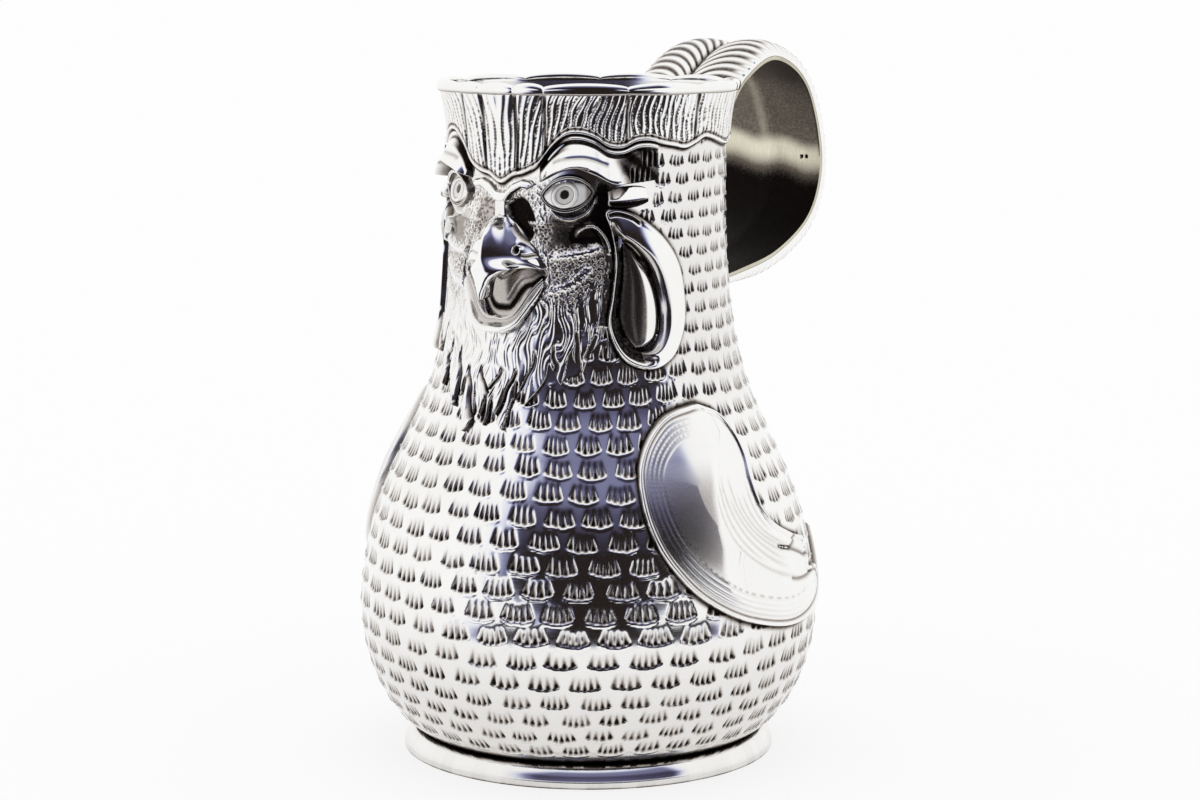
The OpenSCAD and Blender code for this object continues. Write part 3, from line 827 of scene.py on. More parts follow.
@dataclass
class Body(Part):
    """The raised body with its rows of chased feather tufts."""

    columns: int = 1080
    rows: int = 430
    tufts: int = 36
    depth: float = 0.55
    first_row: float = 10.2
    pitches: tuple[float, ...] = (4.7, 5.3, 6.6, 6.6, 6.6, 6.4, 6.15, 5.6, 5.3, 5.3, 5.3)
    bare_z: tuple[float, ...] = (110, 118, 131, 160, 166, 200)
    bare_s: tuple[float, ...] = (0, 24, 32, 33, 46, 48)
    root: tuple = (
        (2.3, 165.6), (3.0, 162.8), (4.7, 160.2), (7.0, 158.2), (9.4, 156.4), (10.7, 160.4), (9.4, 165.2),
        (6.6, 168.0), (3.6, 167.2),
    )  # fmt: skip
    mouth: tuple = (
        (-3, 144), (1, 147), (5, 150), (9.5, 150.8), (13, 149), (14.4, 146.2), (11.5, 142.5), (8, 138),
        (5.6, 133.6), (0, 132.4), (-4, 134),
    )  # fmt: skip
    tongue: tuple = (
        (-4, 139), (-4, 144), (1.2, 146), (4, 148), (6.9, 149.4), (9.8, 149.6), (12.2, 148.6), (12.9, 146.3),
        (10.5, 144.6), (7.9, 144.0), (5.9, 142.4), (4.2, 140.0), (2.5, 137.9), (0, 137.6),
    )  # fmt: skip
    slit: tuple = (
        (13.2, 145.4), (10.7, 143.7), (8.2, 143.0), (6.3, 141.4), (4.7, 139.0), (2.8, 136.8), (0, 136.4),
        (-3, 136.6),
    )  # fmt: skip
    lid_fold: tuple = ((15.2, 165.4), (17.5, 163.2), (20.2, 162.2), (22.7, 162.5), (26.1, 164.4), (28.9, 168.8))
    under_eye: tuple = ((23.5, 159.3), (9, 5.6))
    temple: tuple = ((30.5, 166.5), (3.2, 7))
    lobe_hollow: tuple[float, float] = (7.5, 17)
    face_box: tuple[float, ...] = (-1, 34, 126, 178)
    lobe_box: tuple[float, ...] = (28, 58, 114, 170)
    wing_box: tuple[float, ...] = (56, 164, 38, 114)
    plain_columns: int = 240
    plain_rows: int = 70

    @property
    def floor_z(self) -> float:
        """Height of the floor inside."""
        return self.jug.foot_h - 0.6 * self.jug.wall

    def plain_angles(self) -> Array:
        """Angles of the columns on the body's plain sides."""
        return np.arange(self.plain_columns) * 360 / self.plain_columns

    def baselines(self) -> Array:
        """Heights of the tufts' lower ends, row by row.

        Returns:
            The heights.
        """
        found = [self.first_row]
        while found[-1] < self.jug.top:
            found.append(found[-1] + float(curve(self.pitches, np.array(found[-1] / 190))))
        return np.array(found)

    def tuft_field(self, angle: Array, z: Array) -> tuple[Array, Array]:
        """Tufts of strokes over the body.

        Args:
            angle: angles from the face.
            z: heights.

        Returns:
            Height over the plain wall, and soot with painted shade in the cuts.
        """
        # row, and tuft in the row
        base = self.baselines()
        a = np.radians(angle)
        level = z + 0.5 * np.sin(2 * a + 0.6) + 0.32 * np.sin(5 * a + z / 23)
        k = np.clip(np.searchsorted(base, level, side="right") - 1, 0, len(base) - 2)
        pitch = base[k + 1] - base[k]
        cell = 360 / self.tufts
        u = angle / cell + 0.5 * (k % 2) + 0.35 * (chance(k, 1, 2) - 0.5)
        j = np.floor(u)
        tuft = j % self.tufts
        # place in the tuft
        width = 2 * np.pi * self.jug.radius(z) / self.tufts
        neck = rise(128, 150, z)
        half = 0.5 * width * (0.76 + 0.1 * chance(k, tuft, 3)) * blend(1, 0.98, neck)
        across = (u - j - 0.5 + 0.09 * (chance(k, tuft, 4) - 0.5)) * width
        e = across / half
        count = np.round(blend(3.6 + 1.3 * chance(k, tuft, 5), 3.1 + 1.0 * chance(k, tuft, 5), neck))
        low = pitch * (0.05 + 0.08 * chance(k, tuft, 6))
        tall = pitch * (0.84 - 0.08 * chance(k, tuft, 7)) * blend(1, 0.9, neck)
        tilt = 0.5 * (chance(k, tuft, 8) - 0.5)
        t = (level - base[k] - low - 0.17 * pitch * e**2 + tilt * across * 0.1) / tall
        # stroke in the tuft, and place along it and across it
        q = e / (1 - 0.25 * np.clip(t, 0, 1))
        v = (q + 1) / 2 * count
        i = np.floor(v)
        f = v - i - 0.5
        inside = (i >= 0) & (i < count)
        end = 0.06 * chance(i + 9 * tuft, k, 1)
        long = 0.78 + 0.22 * chance(i + 7 * tuft, k, 2)
        t = (t - end) / long
        tip = np.sqrt(1 - np.clip(1 - t / 0.16, 0, 1) ** 2)
        along = np.clip(1 - t, 0, 1) ** 0.75 * tip * (t > 0)
        lean = 0.47 * (1 - 0.7 * np.clip(t, 0, 1) ** 0.9)
        cross = np.clip(1 - (f / lean) ** 2, 0, 1)
        # the cut, the raised edge under it and the bed they lie in
        strong = (0.8 + 0.35 * chance(k, tuft, 9)) * (0.85 + 0.3 * chance(i + 5 * tuft, k, 4))
        cut = along * cross * inside * strong
        edge = bell(t + 0.09, 0.075) * np.clip(1.15 - np.abs(q) ** 6, 0, 1) * rise(1.12, 0.98, np.abs(q))
        bed = rise(-0.12, 0.15, t) * rise(1.2, 0.6, t) * rise(1.1, 0.8, np.abs(q))
        depth = self.depth * blend(1, 0.8, neck)
        height = -depth * cut - 0.16 * bed + 0.24 * edge
        # soot and painted shade in the cuts, fading upwards along each stroke, and a little in the bed
        soot = 1.2 * cut * np.clip(1.1 - 0.8 * np.clip(t, 0, 1), 0, 1) * blend(0.9, 1, neck) + 0.07 * bed
        shown = self.shown(angle, z)
        return height * shown, soot * shown

    def shown(self, angle: Array, z: Array) -> Array:
        """Share of the tufts that is left outside the face and the foot's seat.

        Args:
            angle: angles from the face.
            z: heights.

        Returns:
            1 where the tufts are whole, 0 where there are none.
        """
        s = np.radians(self.jug.turn(angle)) * self.jug.neck_r
        edge = np.interp(z, self.bare_z, self.bare_s)
        return rise(-1.2, 0.2, s - edge) * rise(8.8, 10.2, z) * rise(0, 1.5, self.jug.crest_low(angle) - z)

    def face_field(self, angle: Array, z: Array) -> tuple[Array, Array]:
        """Ground of the face between its reliefs.

        Args:
            angle: angles from the face.
            z: heights.

        Returns:
            Height over the plain wall, and soot with painted shade.
        """
        jug = self.jug
        s = np.radians(jug.turn(angle)) * jug.neck_r
        box = within(s, z, self.face_box)
        # the right side is painted as the lit side: less painted shade, and shallower hollows at the beak's root
        sooted_and_shaded = blend(0.3, 1, rise(-0.02, 0.05, np.sin(np.radians(angle))))[box]
        s, z = s[box], z[box]
        # hollows beside the beak's root, under the eye and at the temple, painted dark as shade
        root = filled(s, z, self.root, 0.7)
        under_eye = rise(1.25, 0.75, spot(s, z, *self.under_eye))
        temple = rise(1.3, 0.7, spot(s, z, *self.temple))
        bridge = rise(3.2, 1.4, s) * rise(160, 163, z) * rise(169, 167, z)
        lift = 1.3 * bridge - 1.1 * root * sooted_and_shaded - 0.3 * under_eye - 0.3 * temple
        dark = (root + 0.78 * under_eye + 0.85 * temple) * sooted_and_shaded
        # punch marks
        near = rise(34, 31, s) * rise(128, 134, z) * rise(176, 168, z)
        marks = punched(s, z, 1.15, 0.46, 3) * near * (1 - 0.9 * under_eye) * (1 - bridge)
        lift -= 0.2 * marks
        dark += 0.5 * marks + 0.03 * near
        # open mouth with its tongue, painted dark inside, with painted shade over the tongue's right part and in the
        # slit
        inside = filled(s, z, self.mouth, 0.5)
        tongue = filled(s, z, self.tongue, 1.8)
        slit = line_cut(s, z, self.slit, 0.7, taper=False)
        lift = blend(lift, 1.2 * tongue - 1.6 - 0.3 * slit, inside)
        dark = blend(dark, 0.3 + tongue * (0.06 + 0.34 * rise(6, 12, s)) + 0.9 * slit, inside)
        # folds under the eye and round the ear
        fold = line_cut(s, z, self.lid_fold, 0.5)
        d, place = path_distance(s, z, Cheeks.fold_path)
        ridge = bell(d, 0.6) * rise(0.0, 0.2, place)
        lift += 0.8 * fold + (1.9 - lift) * np.clip(ridge, 0, 1)
        dark *= (1 - 0.95 * fold) * (1 - 0.97 * ridge)
        height, soot = np.zeros(box.shape), np.zeros(box.shape)
        height[box], soot[box] = lift, dark
        return height, soot

    def build(self, bench: Bench) -> None:
        """Makes the body and puts it on the bench.

        Args:
            bench: takes the pieces.
        """
        jug = self.jug
        columns, rows = steps(self.columns), steps(self.rows)
        # rows at even steps along the wall's line
        fine = np.linspace(jug.foot_h, jug.top, 4000)
        length = np.concatenate([[0], np.cumsum(np.hypot(np.diff(jug.radius(fine)), np.diff(fine)))])
        z = np.interp(np.linspace(0, length[-1], rows), length, fine)
        angle = np.arange(columns) / columns * 360
        a, z = np.meshgrid(angle, z, indexing="ij")
        height, soot = self.tuft_field(a, z)
        ground, dark = self.face_field(a, z)
        rad = np.radians(a)
        height += ground + 0.07 * np.sin(3 * rad + z / 17) + 0.05 * np.sin(5 * rad - z / 11 + 1)
        # painted shade: darker towards the bottom, and over the sides and back of the upper body
        film_and_shade = 0.1 * rise(58, 20, z) + 0.07 * rise(95, 125, z) * rise(50, 75, jug.turn(a))
        soot += dark + self.soot_and_shadow_lines(a, z) + film_and_shade
        height *= rise(jug.foot_h, jug.foot_h + 1.5, z)
        sheet = Sheet("chased_body").grid(jug.chase(a, z, height), soot, around=True)
        self.add_inside(sheet)
        self.add_bottom(sheet)
        bench.put(sheet, CHASED, "body_shell")

    def add_inside(self, sheet: Sheet) -> None:
        """Adds the plain inside of the wall, which goes deeper behind the face, and the floor.

        Args:
            sheet: the body's sheet.
        """
        jug = self.jug
        inner = np.linspace(jug.top, jug.foot_h + 1.4, self.plain_rows)
        a, z = np.meshgrid(self.plain_angles(), inner, indexing="ij")
        wall = jug.chase(a, z, -jug.wall - 1.1 * rise(118, 126, z) * rise(180, 174, z))
        floor = [wall[:, -1:] * [k, k, 0] + [0, 0, self.floor_z] for k in (0.9, 0.5, 0.01)]
        # the inside and its floor are painted a little darker
        sheet.grid(np.concatenate([wall, *floor], 1), 0.12, around=True, inwards=True)

    def add_bottom(self, sheet: Sheet) -> None:
        """Adds the underside, which the foot stands round.

        Args:
            sheet: the body's sheet.
        """
        jug = self.jug
        under, low = jug.foot_seat_r - 1.6 * jug.wall, self.floor_z - jug.wall
        rings = [(jug.foot_seat_r, jug.foot_h), (under, low), (under * 0.5, low), (0.5, low)]
        a = np.radians(self.plain_angles())
        bottom = np.stack([np.stack([r * np.sin(a), -r * np.cos(a), np.full_like(a, z)], -1) for r, z in rings], 1)
        # the underside is painted darker as shade
        sheet.grid(bottom, 0.3, around=True, core=np.full_like(bottom, jug.belly_z) * [0, 0, 1])

    def soot_and_shadow_lines(self, angle: Array, z: Array) -> Array:
        """Soot and painted shadow on the wall along the outlines of the wings and the ear lobes, painted shade in the
        lobes' hollows, under the crest and over the foot.

        Args:
            angle: angles from the face.
            z: heights.

        Returns:
            The soot and painted shadow.
        """
        jug = self.jug
        soot = np.zeros_like(z)
        turned = jug.turn(angle)
        s, w = np.radians(turned) * jug.neck_r, np.radians(turned) * jug.belly_r
        # painted shadow round the ear lobe, and painted shade in its hollow, weaker on the right side as the lit side
        box = within(s, z, self.lobe_box)
        d, _ = path_distance(s[box], z[box], jug.lobe_place(np.array(EarLobes(jug).outer)), closed=True, steps=120)
        sooted_and_shaded = np.where(np.sin(np.radians(angle)) < 0, 0.35, 1)
        soot[box] = np.maximum(soot[box], 0.9 * bell(d, 0.9) * sooted_and_shaded[box])
        centre = jug.lobe_place(np.array(EarLobes(jug).inner)).mean(0)
        inside = spot(s[box], z[box], centre, self.lobe_hollow) < 1
        soot[box] = np.where(inside, 0.8 * sooted_and_shaded[box], soot[box])
        # painted shadow round the wing
        box = within(w, z, self.wing_box)
        d, _ = path_distance(w[box], z[box], Wings(jug).outline(), closed=True, steps=200)
        soot[box] = np.maximum(soot[box], 0.85 * bell(d, 0.8) * sooted_and_shaded[box])
        # painted shadow under the crest, and painted shade in blots over the foot
        soot = np.maximum(soot, 0.95 * bell(np.maximum(jug.crest_low(angle) - z - 0.1, 0), 0.5))
        blot = chance(np.floor(angle / 2.3), np.floor(angle / 7.1), 4)
        return np.maximum(soot, (0.75 + 0.4 * blot) * bell(np.maximum(z - jug.foot_h - 0.4, 0), 0.9 + 0.9 * blot))


@dataclass
class Foot(Part):
    """The plain spun foot ring."""

    sections: int = 90
    band: tuple = (
        (0.02, 0.94), (0.16, 0.985), (0.32, 0.985), (0.47, 0.95), (0.6, 0.86), (0.71, 0.74), (0.81, 0.6), (0.89, 0.46),
        (0.95, 0.36), (0.985, 0.325), (0.998, 0.28), (1, 0.18), (0.995, 0.07), (0.96, 0.02), (0.85, 0),
    )  # fmt: skip
    tread: tuple = ((3.1, 0), (3.7, 1.65))
    hollow: tuple = ((48.6, 3.4), (46.2, 3.4), (46.2, 4.7))
    core_r: float = 52
    core_z: float = 2.6

    def build(self, bench: Bench) -> None:
        """Makes the foot and puts it on the bench.

        Args:
            bench: takes the pieces.
        """
        jug = self.jug
        t = np.linspace(0, 1, self.sections)
        band = curve(self.band, t)
        line = np.stack([blend(jug.foot_seat_r, jug.foot_r, band[:, 0]), jug.foot_h * band[:, 1]], -1)
        under = [*((jug.foot_r - inset, z) for inset, z in self.tread), *self.hollow]
        line = np.concatenate([[(jug.foot_seat_r - 1, jug.foot_h - 0.3)], line, under])
        ring = np.radians(np.arange(steps(480)) * 360 / steps(480))
        # soot and painted shade along the section: dark at the joint with the body, darker over the lower half, a
        # painted shadow line low on the outer edge where the foot meets the table, and dark underneath
        film_and_shade = 0.9 * bell(t, 0.14) + 0.06 + 0.09 * rise(0.4, 0.8, t) + 0.75 * bell(t - 0.885, 0.035)
        low = np.concatenate([[0.95], film_and_shade, np.full(len(under), 0.4)])
        points = np.stack([
            np.outer(np.sin(ring), line[:, 0]),
            -np.outer(np.cos(ring), line[:, 0]),
            np.broadcast_to(line[:, 1], (len(ring), len(line))),
        ], -1)
        core = np.stack([self.core_r * np.sin(ring), -self.core_r * np.cos(ring), np.full_like(ring, self.core_z)], -1)
        core = np.broadcast_to(core[:, None], points.shape)
        blots = 0.65 + 0.5 * chance(np.arange(len(ring)) // 7, np.arange(len(ring)) // 23, 8)[:, None]
        soot = np.broadcast_to(low, points.shape[:2]) * blots
        bench.put(Sheet("spun_foot").grid(points, soot, around=True, core=core), BRIGHT, "foot_ring", crease=40)


@dataclass
class Crest(Part):
    """The band of upright locks round the neck and the wavy lip over it."""

    columns: int = 1260
    rows: int = 100
    rib: float = 1.95
    mean_r: float = 42
    lip_section: tuple = (
        (0.0, -0.2), (0.5, -0.25), (0.98, -0.15), (1.1, 0.25), (1.12, 0.6), (0.98, 0.9), (0.7, 1.0), (0.3, 1.0),
        (0.04, 0.85), (0.0, 0.4),
    )  # fmt: skip

    def ribs(self, angle: Array, t: Array) -> tuple[Array, Array]:
        """Ribs and rows of punch marks in the locks.

        Args:
            angle: angles from the face.
            t: places from the lower edge, 0, to the lip, 1.

        Returns:
            Height, and soot with painted shade in the grooves and the dots.
        """
        jug = self.jug
        k, u, width = jug.lock(angle)
        count = np.maximum(np.round(np.radians(width) * self.mean_r / self.rib), 3)
        side = np.radians(jug.turn(angle)) * jug.neck_r
        fan = 1 + 0.62 * t**2.2 * bell(side, 26)
        # rib, and place across it
        v = count * (0.5 + (u - 0.5) * (1 - 0.12 * t)) + (side / fan - side) / self.rib
        v = v + (0.4 * np.sin(2.6 * t + 2 * k) + 0.18 * np.sin(9 * t + 5 * chance(np.floor(v), k, 3))) * (1 - 0.4 * t)
        i = np.floor(v)
        f = v - i
        rib = 0.5 + 0.14 * (chance(i, k, 12) - 0.5)
        crown = np.clip(1 - ((f - 0.5) / (0.3 * rib * 2)) ** 2, 0, 1)
        # rows of dots beside the rib
        z = t * (jug.top - jug.crest_low(angle))
        row = z / 0.9 + 0.5 * (i % 2)
        beside = np.minimum(f, 1 - f)
        dot = np.clip(1 - (beside / 0.2) ** 2 - ((row - np.floor(row) - 0.5) / 0.4) ** 2, 0, 1)
        held = chance(np.floor(row), i + 31 * k, 6)
        worked = rise(0.1, 0.5, chance(i + 0.5, k, 9) + 0.25)
        reach = 0.55 + 0.35 * chance(i, k, 15)
        dot = dot * rise(0.12, 0.4, held) * worked * rise(0.02, 0.1, t) * rise(reach + 0.15, reach - 0.1, t)
        # grooves between the ribs and between the locks
        groove = bell(beside, 0.13)
        between = bell(np.minimum(u, 1 - u) * np.radians(width) * self.mean_r, 0.55)
        top = rise(1.0, 0.93, t)
        height = (-0.14 * groove - 0.5 * between + 0.12 * crown**0.7) * top - 0.3 * dot
        return height, (0.18 * groove * (0.5 + chance(i, k, 21)) + 0.6 * between) * top + 0.85 * dot

    def build(self, bench: Bench) -> None:
        """Makes the crest and the lip and puts them on the bench.

        Args:
            bench: takes the pieces.
        """
        jug = self.jug
        columns, rows = steps(self.columns), steps(self.rows)
        t = np.linspace(-0.035, 1, rows)
        a, t = np.meshgrid(np.arange(columns) / columns * 360, t, indexing="ij")
        low = jug.crest_low(a)
        z = blend(low, jug.top, t)
        ribs, soot = self.ribs(a, np.clip(t, 0, 1))
        # bead and line along the lower edge, with painted shade in the line and along the edge itself
        over = z - low
        edge = rise(0, 0.45, over)
        bead = bell(over - 0.75, 0.42)
        line = bell(over - 1.75, 0.4)
        lift = jug.crest_lift(a, np.clip(t, 0, 1)) + ribs * rise(1.0, 2.2, over) + 0.28 * bead - 0.3 * line
        lift = blend(-0.35, lift, edge)
        soot = soot * rise(0.8, 2.0, over) + 0.7 * line + 0.8 * (1 - rise(0.1, 0.5, over))
        bench.put(Sheet("crest_locks").grid(jug.lay(a, z, lift), soot, around=True), CHASED, "crest")
        self.build_lip(bench)

    def build_lip(self, bench: Bench) -> None:
        """Makes the wavy lip.

        Args:
            bench: takes the pieces.
        """
        jug = self.jug
        columns = steps(900)
        angle = np.arange(columns) / columns * 360
        swell = jug.swell(angle)
        low_z = jug.top - 0.3
        top = jug.height - low_z - 0.65 + 1.3 * swell
        section = ring_curve(self.lip_section, np.linspace(0, 1, 40, endpoint=False))
        width = jug.wall + jug.crest_t + jug.crest_flare * swell
        r = jug.mouth_r - jug.wall + np.outer(width, section[:, 0])
        z = low_z + np.outer(top, section[:, 1])
        rad = np.radians(angle)[:, None]
        points = np.stack([r * np.sin(rad), -r * np.cos(rad), z], -1)
        core = points.mean(1, keepdims=True) + np.zeros_like(points)
        # painted shade under the lip, where it sits on the crest
        soot = np.zeros(points.shape[:2]) + 0.55 * bell(section[:, 1] + 0.2, 0.18)
        bench.put(Sheet("wavy_lip").grid(points, soot, around=True, across=True, core=core), POLISHED, "rim_lip")


@dataclass
class Brow(Part):
    """The polished band over both eyes."""

    half: float = 47
    height: float = 2.0
    shares: tuple[float, ...] = (1, 0.925, 0.846, 0.775, 0.706, 0.688, 0.74, 0.812, 0.81, 0.8, 0.785)
    wave_s: tuple[float, ...] = (0, 1.7, 4.1, 7.1, 9.6, 11.8, 14)
    wave_z: tuple[float, ...] = (168.0, 168.3, 170.6, 172.0, 171.7, 170.0, 168.5)
    crease: tuple = ((16.6, 178.1), (18.8, 179.2), (24.1, 179.8), (27.3, 179.3), (30.3, 178.1), (32, 177.4))
    slash: tuple = ((21, 176.3), (23.6, 176.9), (26.5, 176.4))
    end_tufts: tuple = ((41.2, 179.5, 2.5), (37.4, 174.6, 2.4))

    def low(self, s: Array) -> Array:
        """Height of the brow's lower edge."""
        drop = self.jug.eye_drop + self.jug.eye_h * 0.37
        return self.jug.height - drop * curve(self.shares, np.abs(s) / self.half)

    def build(self, bench: Bench) -> None:
        """Makes the brow and puts it on the bench.

        Args:
            bench: takes the pieces.
        """
        jug = self.jug
        s, t = net((-self.half, self.half, 620), (0, 1, 64))
        a = np.abs(s)
        high = jug.crest_low(jug.angle(s)) - 0.1
        z = blend(high, self.low(s), t)
        down, up = high - z, z - self.low(s)
        # domed band, which slopes out under the crest, with painted shade in the groove under its top bead
        end = 0.6 + 0.4 * rise(self.half, self.half - 14, a)
        dome = np.sqrt(np.clip(bump(blend(0.16, 1, t)), 0, 1))
        lift = self.height * end * (0.25 + 0.75 * dome)
        slope = np.minimum(0.5 + 0.62 * np.maximum(down - 1.6, 0), 4.9) * blend(0.7, 1, rise(0.05, 0.7, up))
        lift = blend(lift, slope, rise(12.5, 15.5, a) * rise(40.5, 34, a))
        lift += 0.35 * bell(down - 0.9, 0.4) - 0.5 * bell(down - 1.9, 0.4)
        soot = 0.85 * bell(down - 1.9, 0.38) * rise(11, 14, a)
        # dark notch beside the beak's point, a hollow painted dark as shade
        notch = rise(9.5, 11.5, a) * rise(22, 17, a)
        soot += 1.0 * notch * rise(3.4, 2.4, down - 0.1 * (a - 11))
        lift -= 0.5 * notch * rise(3.0, 1.5, down)
        # rolled wave over the beak, with painted shade round its edges
        middle = np.interp(a, self.wave_s, self.wave_z)
        off = (z - middle) / blend(1.75, 1.4, rise(2, 8, a))
        wave = rise(13.6, 12.0, a)
        roll = 2.1 * np.sqrt(np.clip(1 - off**2, 0, 1)) - 0.25 + 0.25 * bell(off + 0.35, 0.3)
        lift = blend(lift, roll, wave)
        soot = blend(soot, 1.0 * rise(0.8, 1.15, np.abs(off)), wave)
        # lines over the eye
        crease, slash = line_cut(a, z, self.crease, 0.5), line_cut(a, z, self.slash, 0.4)
        lift -= 0.2 * crease + 0.25 * slash
        soot += 0.3 * crease + 0.6 * slash
        # painted shade over the dark end, and its tufts, whose raised rims keep painted highlights
        dark_end_shade = rise(33.6, 36.6, a + 0.32 * (z - 177)) * (0.85 + 0.15 * np.sin(z * 1.3 + a))
        soot = np.maximum(soot, dark_end_shade * rise(0.9, 1.8, down))
        for v0, middle, reach in self.end_tufts:
            v = (a - v0) / 1.65
            f = v - np.floor(v) - 0.5
            along = (z - middle + reach) / (2 * reach)
            cut = np.clip(1 - (f / (0.36 * (1.1 - 0.6 * np.clip(along, 0, 1)))) ** 2, 0, 1) * bump(along) ** 0.4
            cut *= (v > 0) & (v < 4) & (a < 46.6)
            rim = bell(np.abs(f) - 0.45, 0.1) * bump(along) * (v > 0) * (v < 4)
            lift += 0.3 * rim - 0.5 * cut
            soot = np.clip(soot - 0.5 * rim, 0, 2) + 0.5 * cut
        # rounded edge, with painted shadow along it
        side = np.minimum(self.half - a, np.minimum(down + 0.2, up))
        lift = blend(-0.35, lift, rise(0.0, 0.55, side))
        soot += 0.8 * (1 - rise(0.15, 0.6, side))
        bench.put(Sheet("brow_band").grid(jug.lay(jug.angle(s), z, lift), soot), POLISHED, "brow_comb")


@dataclass
class Eyes(Part):
    """Lids, eyeballs and the bars behind the eyes."""

    centre: float = 20.5
    width: float = 15.2
    lid: float = 1.4
    lid_rise: float = 1.6
    ball_rise: float = 1.5
    corner: float = 0.45
    tilt: float = 0.085
    bar_long: float = 11.2
    bar_tall: float = 6.2
    iris: tuple[float, float] = (-0.7, -0.3)
    pupil: tuple[float, float] = (-0.75, -0.1)
    lid_profile: tuple[float, ...] = (-0.4, 0.75, 1.5, 1.65, 1.05, 1.5, 1.45, 0.7, -0.1)

    def place(self, x: Array, y: Array) -> tuple[Array, Array]:
        """Angle and height of a point given from the middle of the eye."""
        return self.jug.angle(self.centre + x), self.jug.eye_z + y + x * self.tilt

    def almond(self, a: Array, w: Array, h: Array) -> tuple[Array, Array]:
        """Outline of the eye, pointed at the corners."""
        return w / 2 * np.cos(a), h / 2 * np.sign(np.sin(a)) * np.abs(np.sin(a)) ** 1.4

    def build(self, bench: Bench) -> None:
        """Makes the eyes and puts them on the bench."""
        for make in (self.build_lids, self.build_balls, self.build_bars):
            make(bench)

    def build_lids(self, bench: Bench) -> None:
        """Makes the lids.

        Args:
            bench: takes the pieces.
        """
        jug = self.jug
        a, k = net((0, 2 * np.pi, 260), (-0.22, 1.12, 34), ring=True)
        inset = 2 * self.lid * k
        x, y = self.almond(a, self.width - inset * self.corner, jug.eye_h - inset)
        above = np.clip(np.sin(a), 0, 1)
        lift = curve(self.lid_profile, (k + 0.22) / 1.34) * self.lid_rise / 1.6
        lift += 0.35 * above * bell(k - 0.3, 0.35)
        # painted shade along the lids' inner edge and in a line over the lower lid, and painted shadow round their
        # outer edge
        soot = 0.95 * bell(k - 0.52, 0.1) * (1 - above) + 1.1 * rise(0.2, -0.05, k)
        soot += 0.95 * rise(0.94, 1.06, k + 0.2 * above + 0.3 * np.clip(-np.sin(a), 0, 1) ** 0.7)
        angle, z = self.place(x, y)
        bench.put_pair(Sheet("lids").grid(jug.lay(angle, z, lift), soot, around=True), POLISHED, "eyelids")

    def build_balls(self, bench: Bench) -> None:
        """Makes the eyeballs, each with an iris and a pupil.

        Args:
            bench: takes the pieces.
        """
        jug = self.jug
        a, q = net((0, 2 * np.pi, 200), (0.002, 1.12, 60), ring=True)
        x, y = self.almond(a, (self.width - 2 * self.lid * self.corner) * q, (jug.eye_h - 2 * self.lid) * q)
        d = spot(x, y, self.iris)
        dome = self.ball_rise * np.sqrt(np.clip(1 - (0.82 * q) ** 2, 0, 1)) - 0.25
        # ring, iris and pupil on the dome
        ring = bell(d - 3.1, 0.5)
        iris = rise(2.8, 2.3, d)
        pupil = rise(1.45, 1.05, spot(x, y, self.pupil))
        lift = dome + 0.38 * ring - 0.4 * iris + 0.2 * iris * (d / 2.6) ** 2 - 0.3 * pupil
        lift = lift - 0.5 * rise(0.97, 1.1, q) - 0.3 * y
        # soot and painted shade in them, round their edge and in the corners of the eye
        corner = rise(4.6, 5.8, x) + rise(2.3, 3.3, y) * rise(-1, 1, x)
        soot = 0.16 * iris + 1.0 * pupil + 0.9 * rise(0.92, 1.0, q) + 0.55 * np.clip(corner, 0, 1)
        soot = soot * (1 - ring) + 0.5 * bell(d - 2.5, 0.16) + 0.45 * bell(d - 3.75, 0.16)
        angle, z = self.place(x, y)
        bench.put_pair(Sheet("eye").grid(jug.lay(angle, z, lift), soot, around=True), FROSTED, "eyeball")

    def build_bars(self, bench: Bench) -> None:
        """Makes the bars behind the eyes.

        Args:
            bench: takes the pieces.
        """
        jug = self.jug
        t, v = net((-0.03, 1.03, 90), (-1.15, 1.15, 34))
        half = self.bar_tall / 2 * np.clip(bump(0.06 + 0.88 * t), 0.02, 1) ** 0.22
        s = self.centre + self.width / 2 + self.width * 0.24 + self.bar_long * t
        z = jug.eye_z - 1.0 - half * v + 0.9 * (t - 0.5)
        out = np.maximum(np.abs(v), np.abs(2 * t - 1) ** 6)
        lift = (0.5 + 2.0 * np.clip(v + 1, 0, 1.2)) * rise(1.15, 0.7, v) * np.clip(bump(0.08 + 0.84 * t), 0, 1) ** 0.15
        lift = blend(-0.35, lift, rise(1.12, 0.93, out))
        # the lower part is painted dark as the bar's shaded side, with painted shadow round its edge
        soot = 1.1 * rise(0.2, 0.42, v) * rise(-0.02, 0.1, t) + 0.9 * rise(0.96, 1.05, out)
        bench.put_pair(Sheet("ear_bar_band").grid(jug.lay(jug.angle(s), z, lift), soot), POLISHED, "ear_bar")


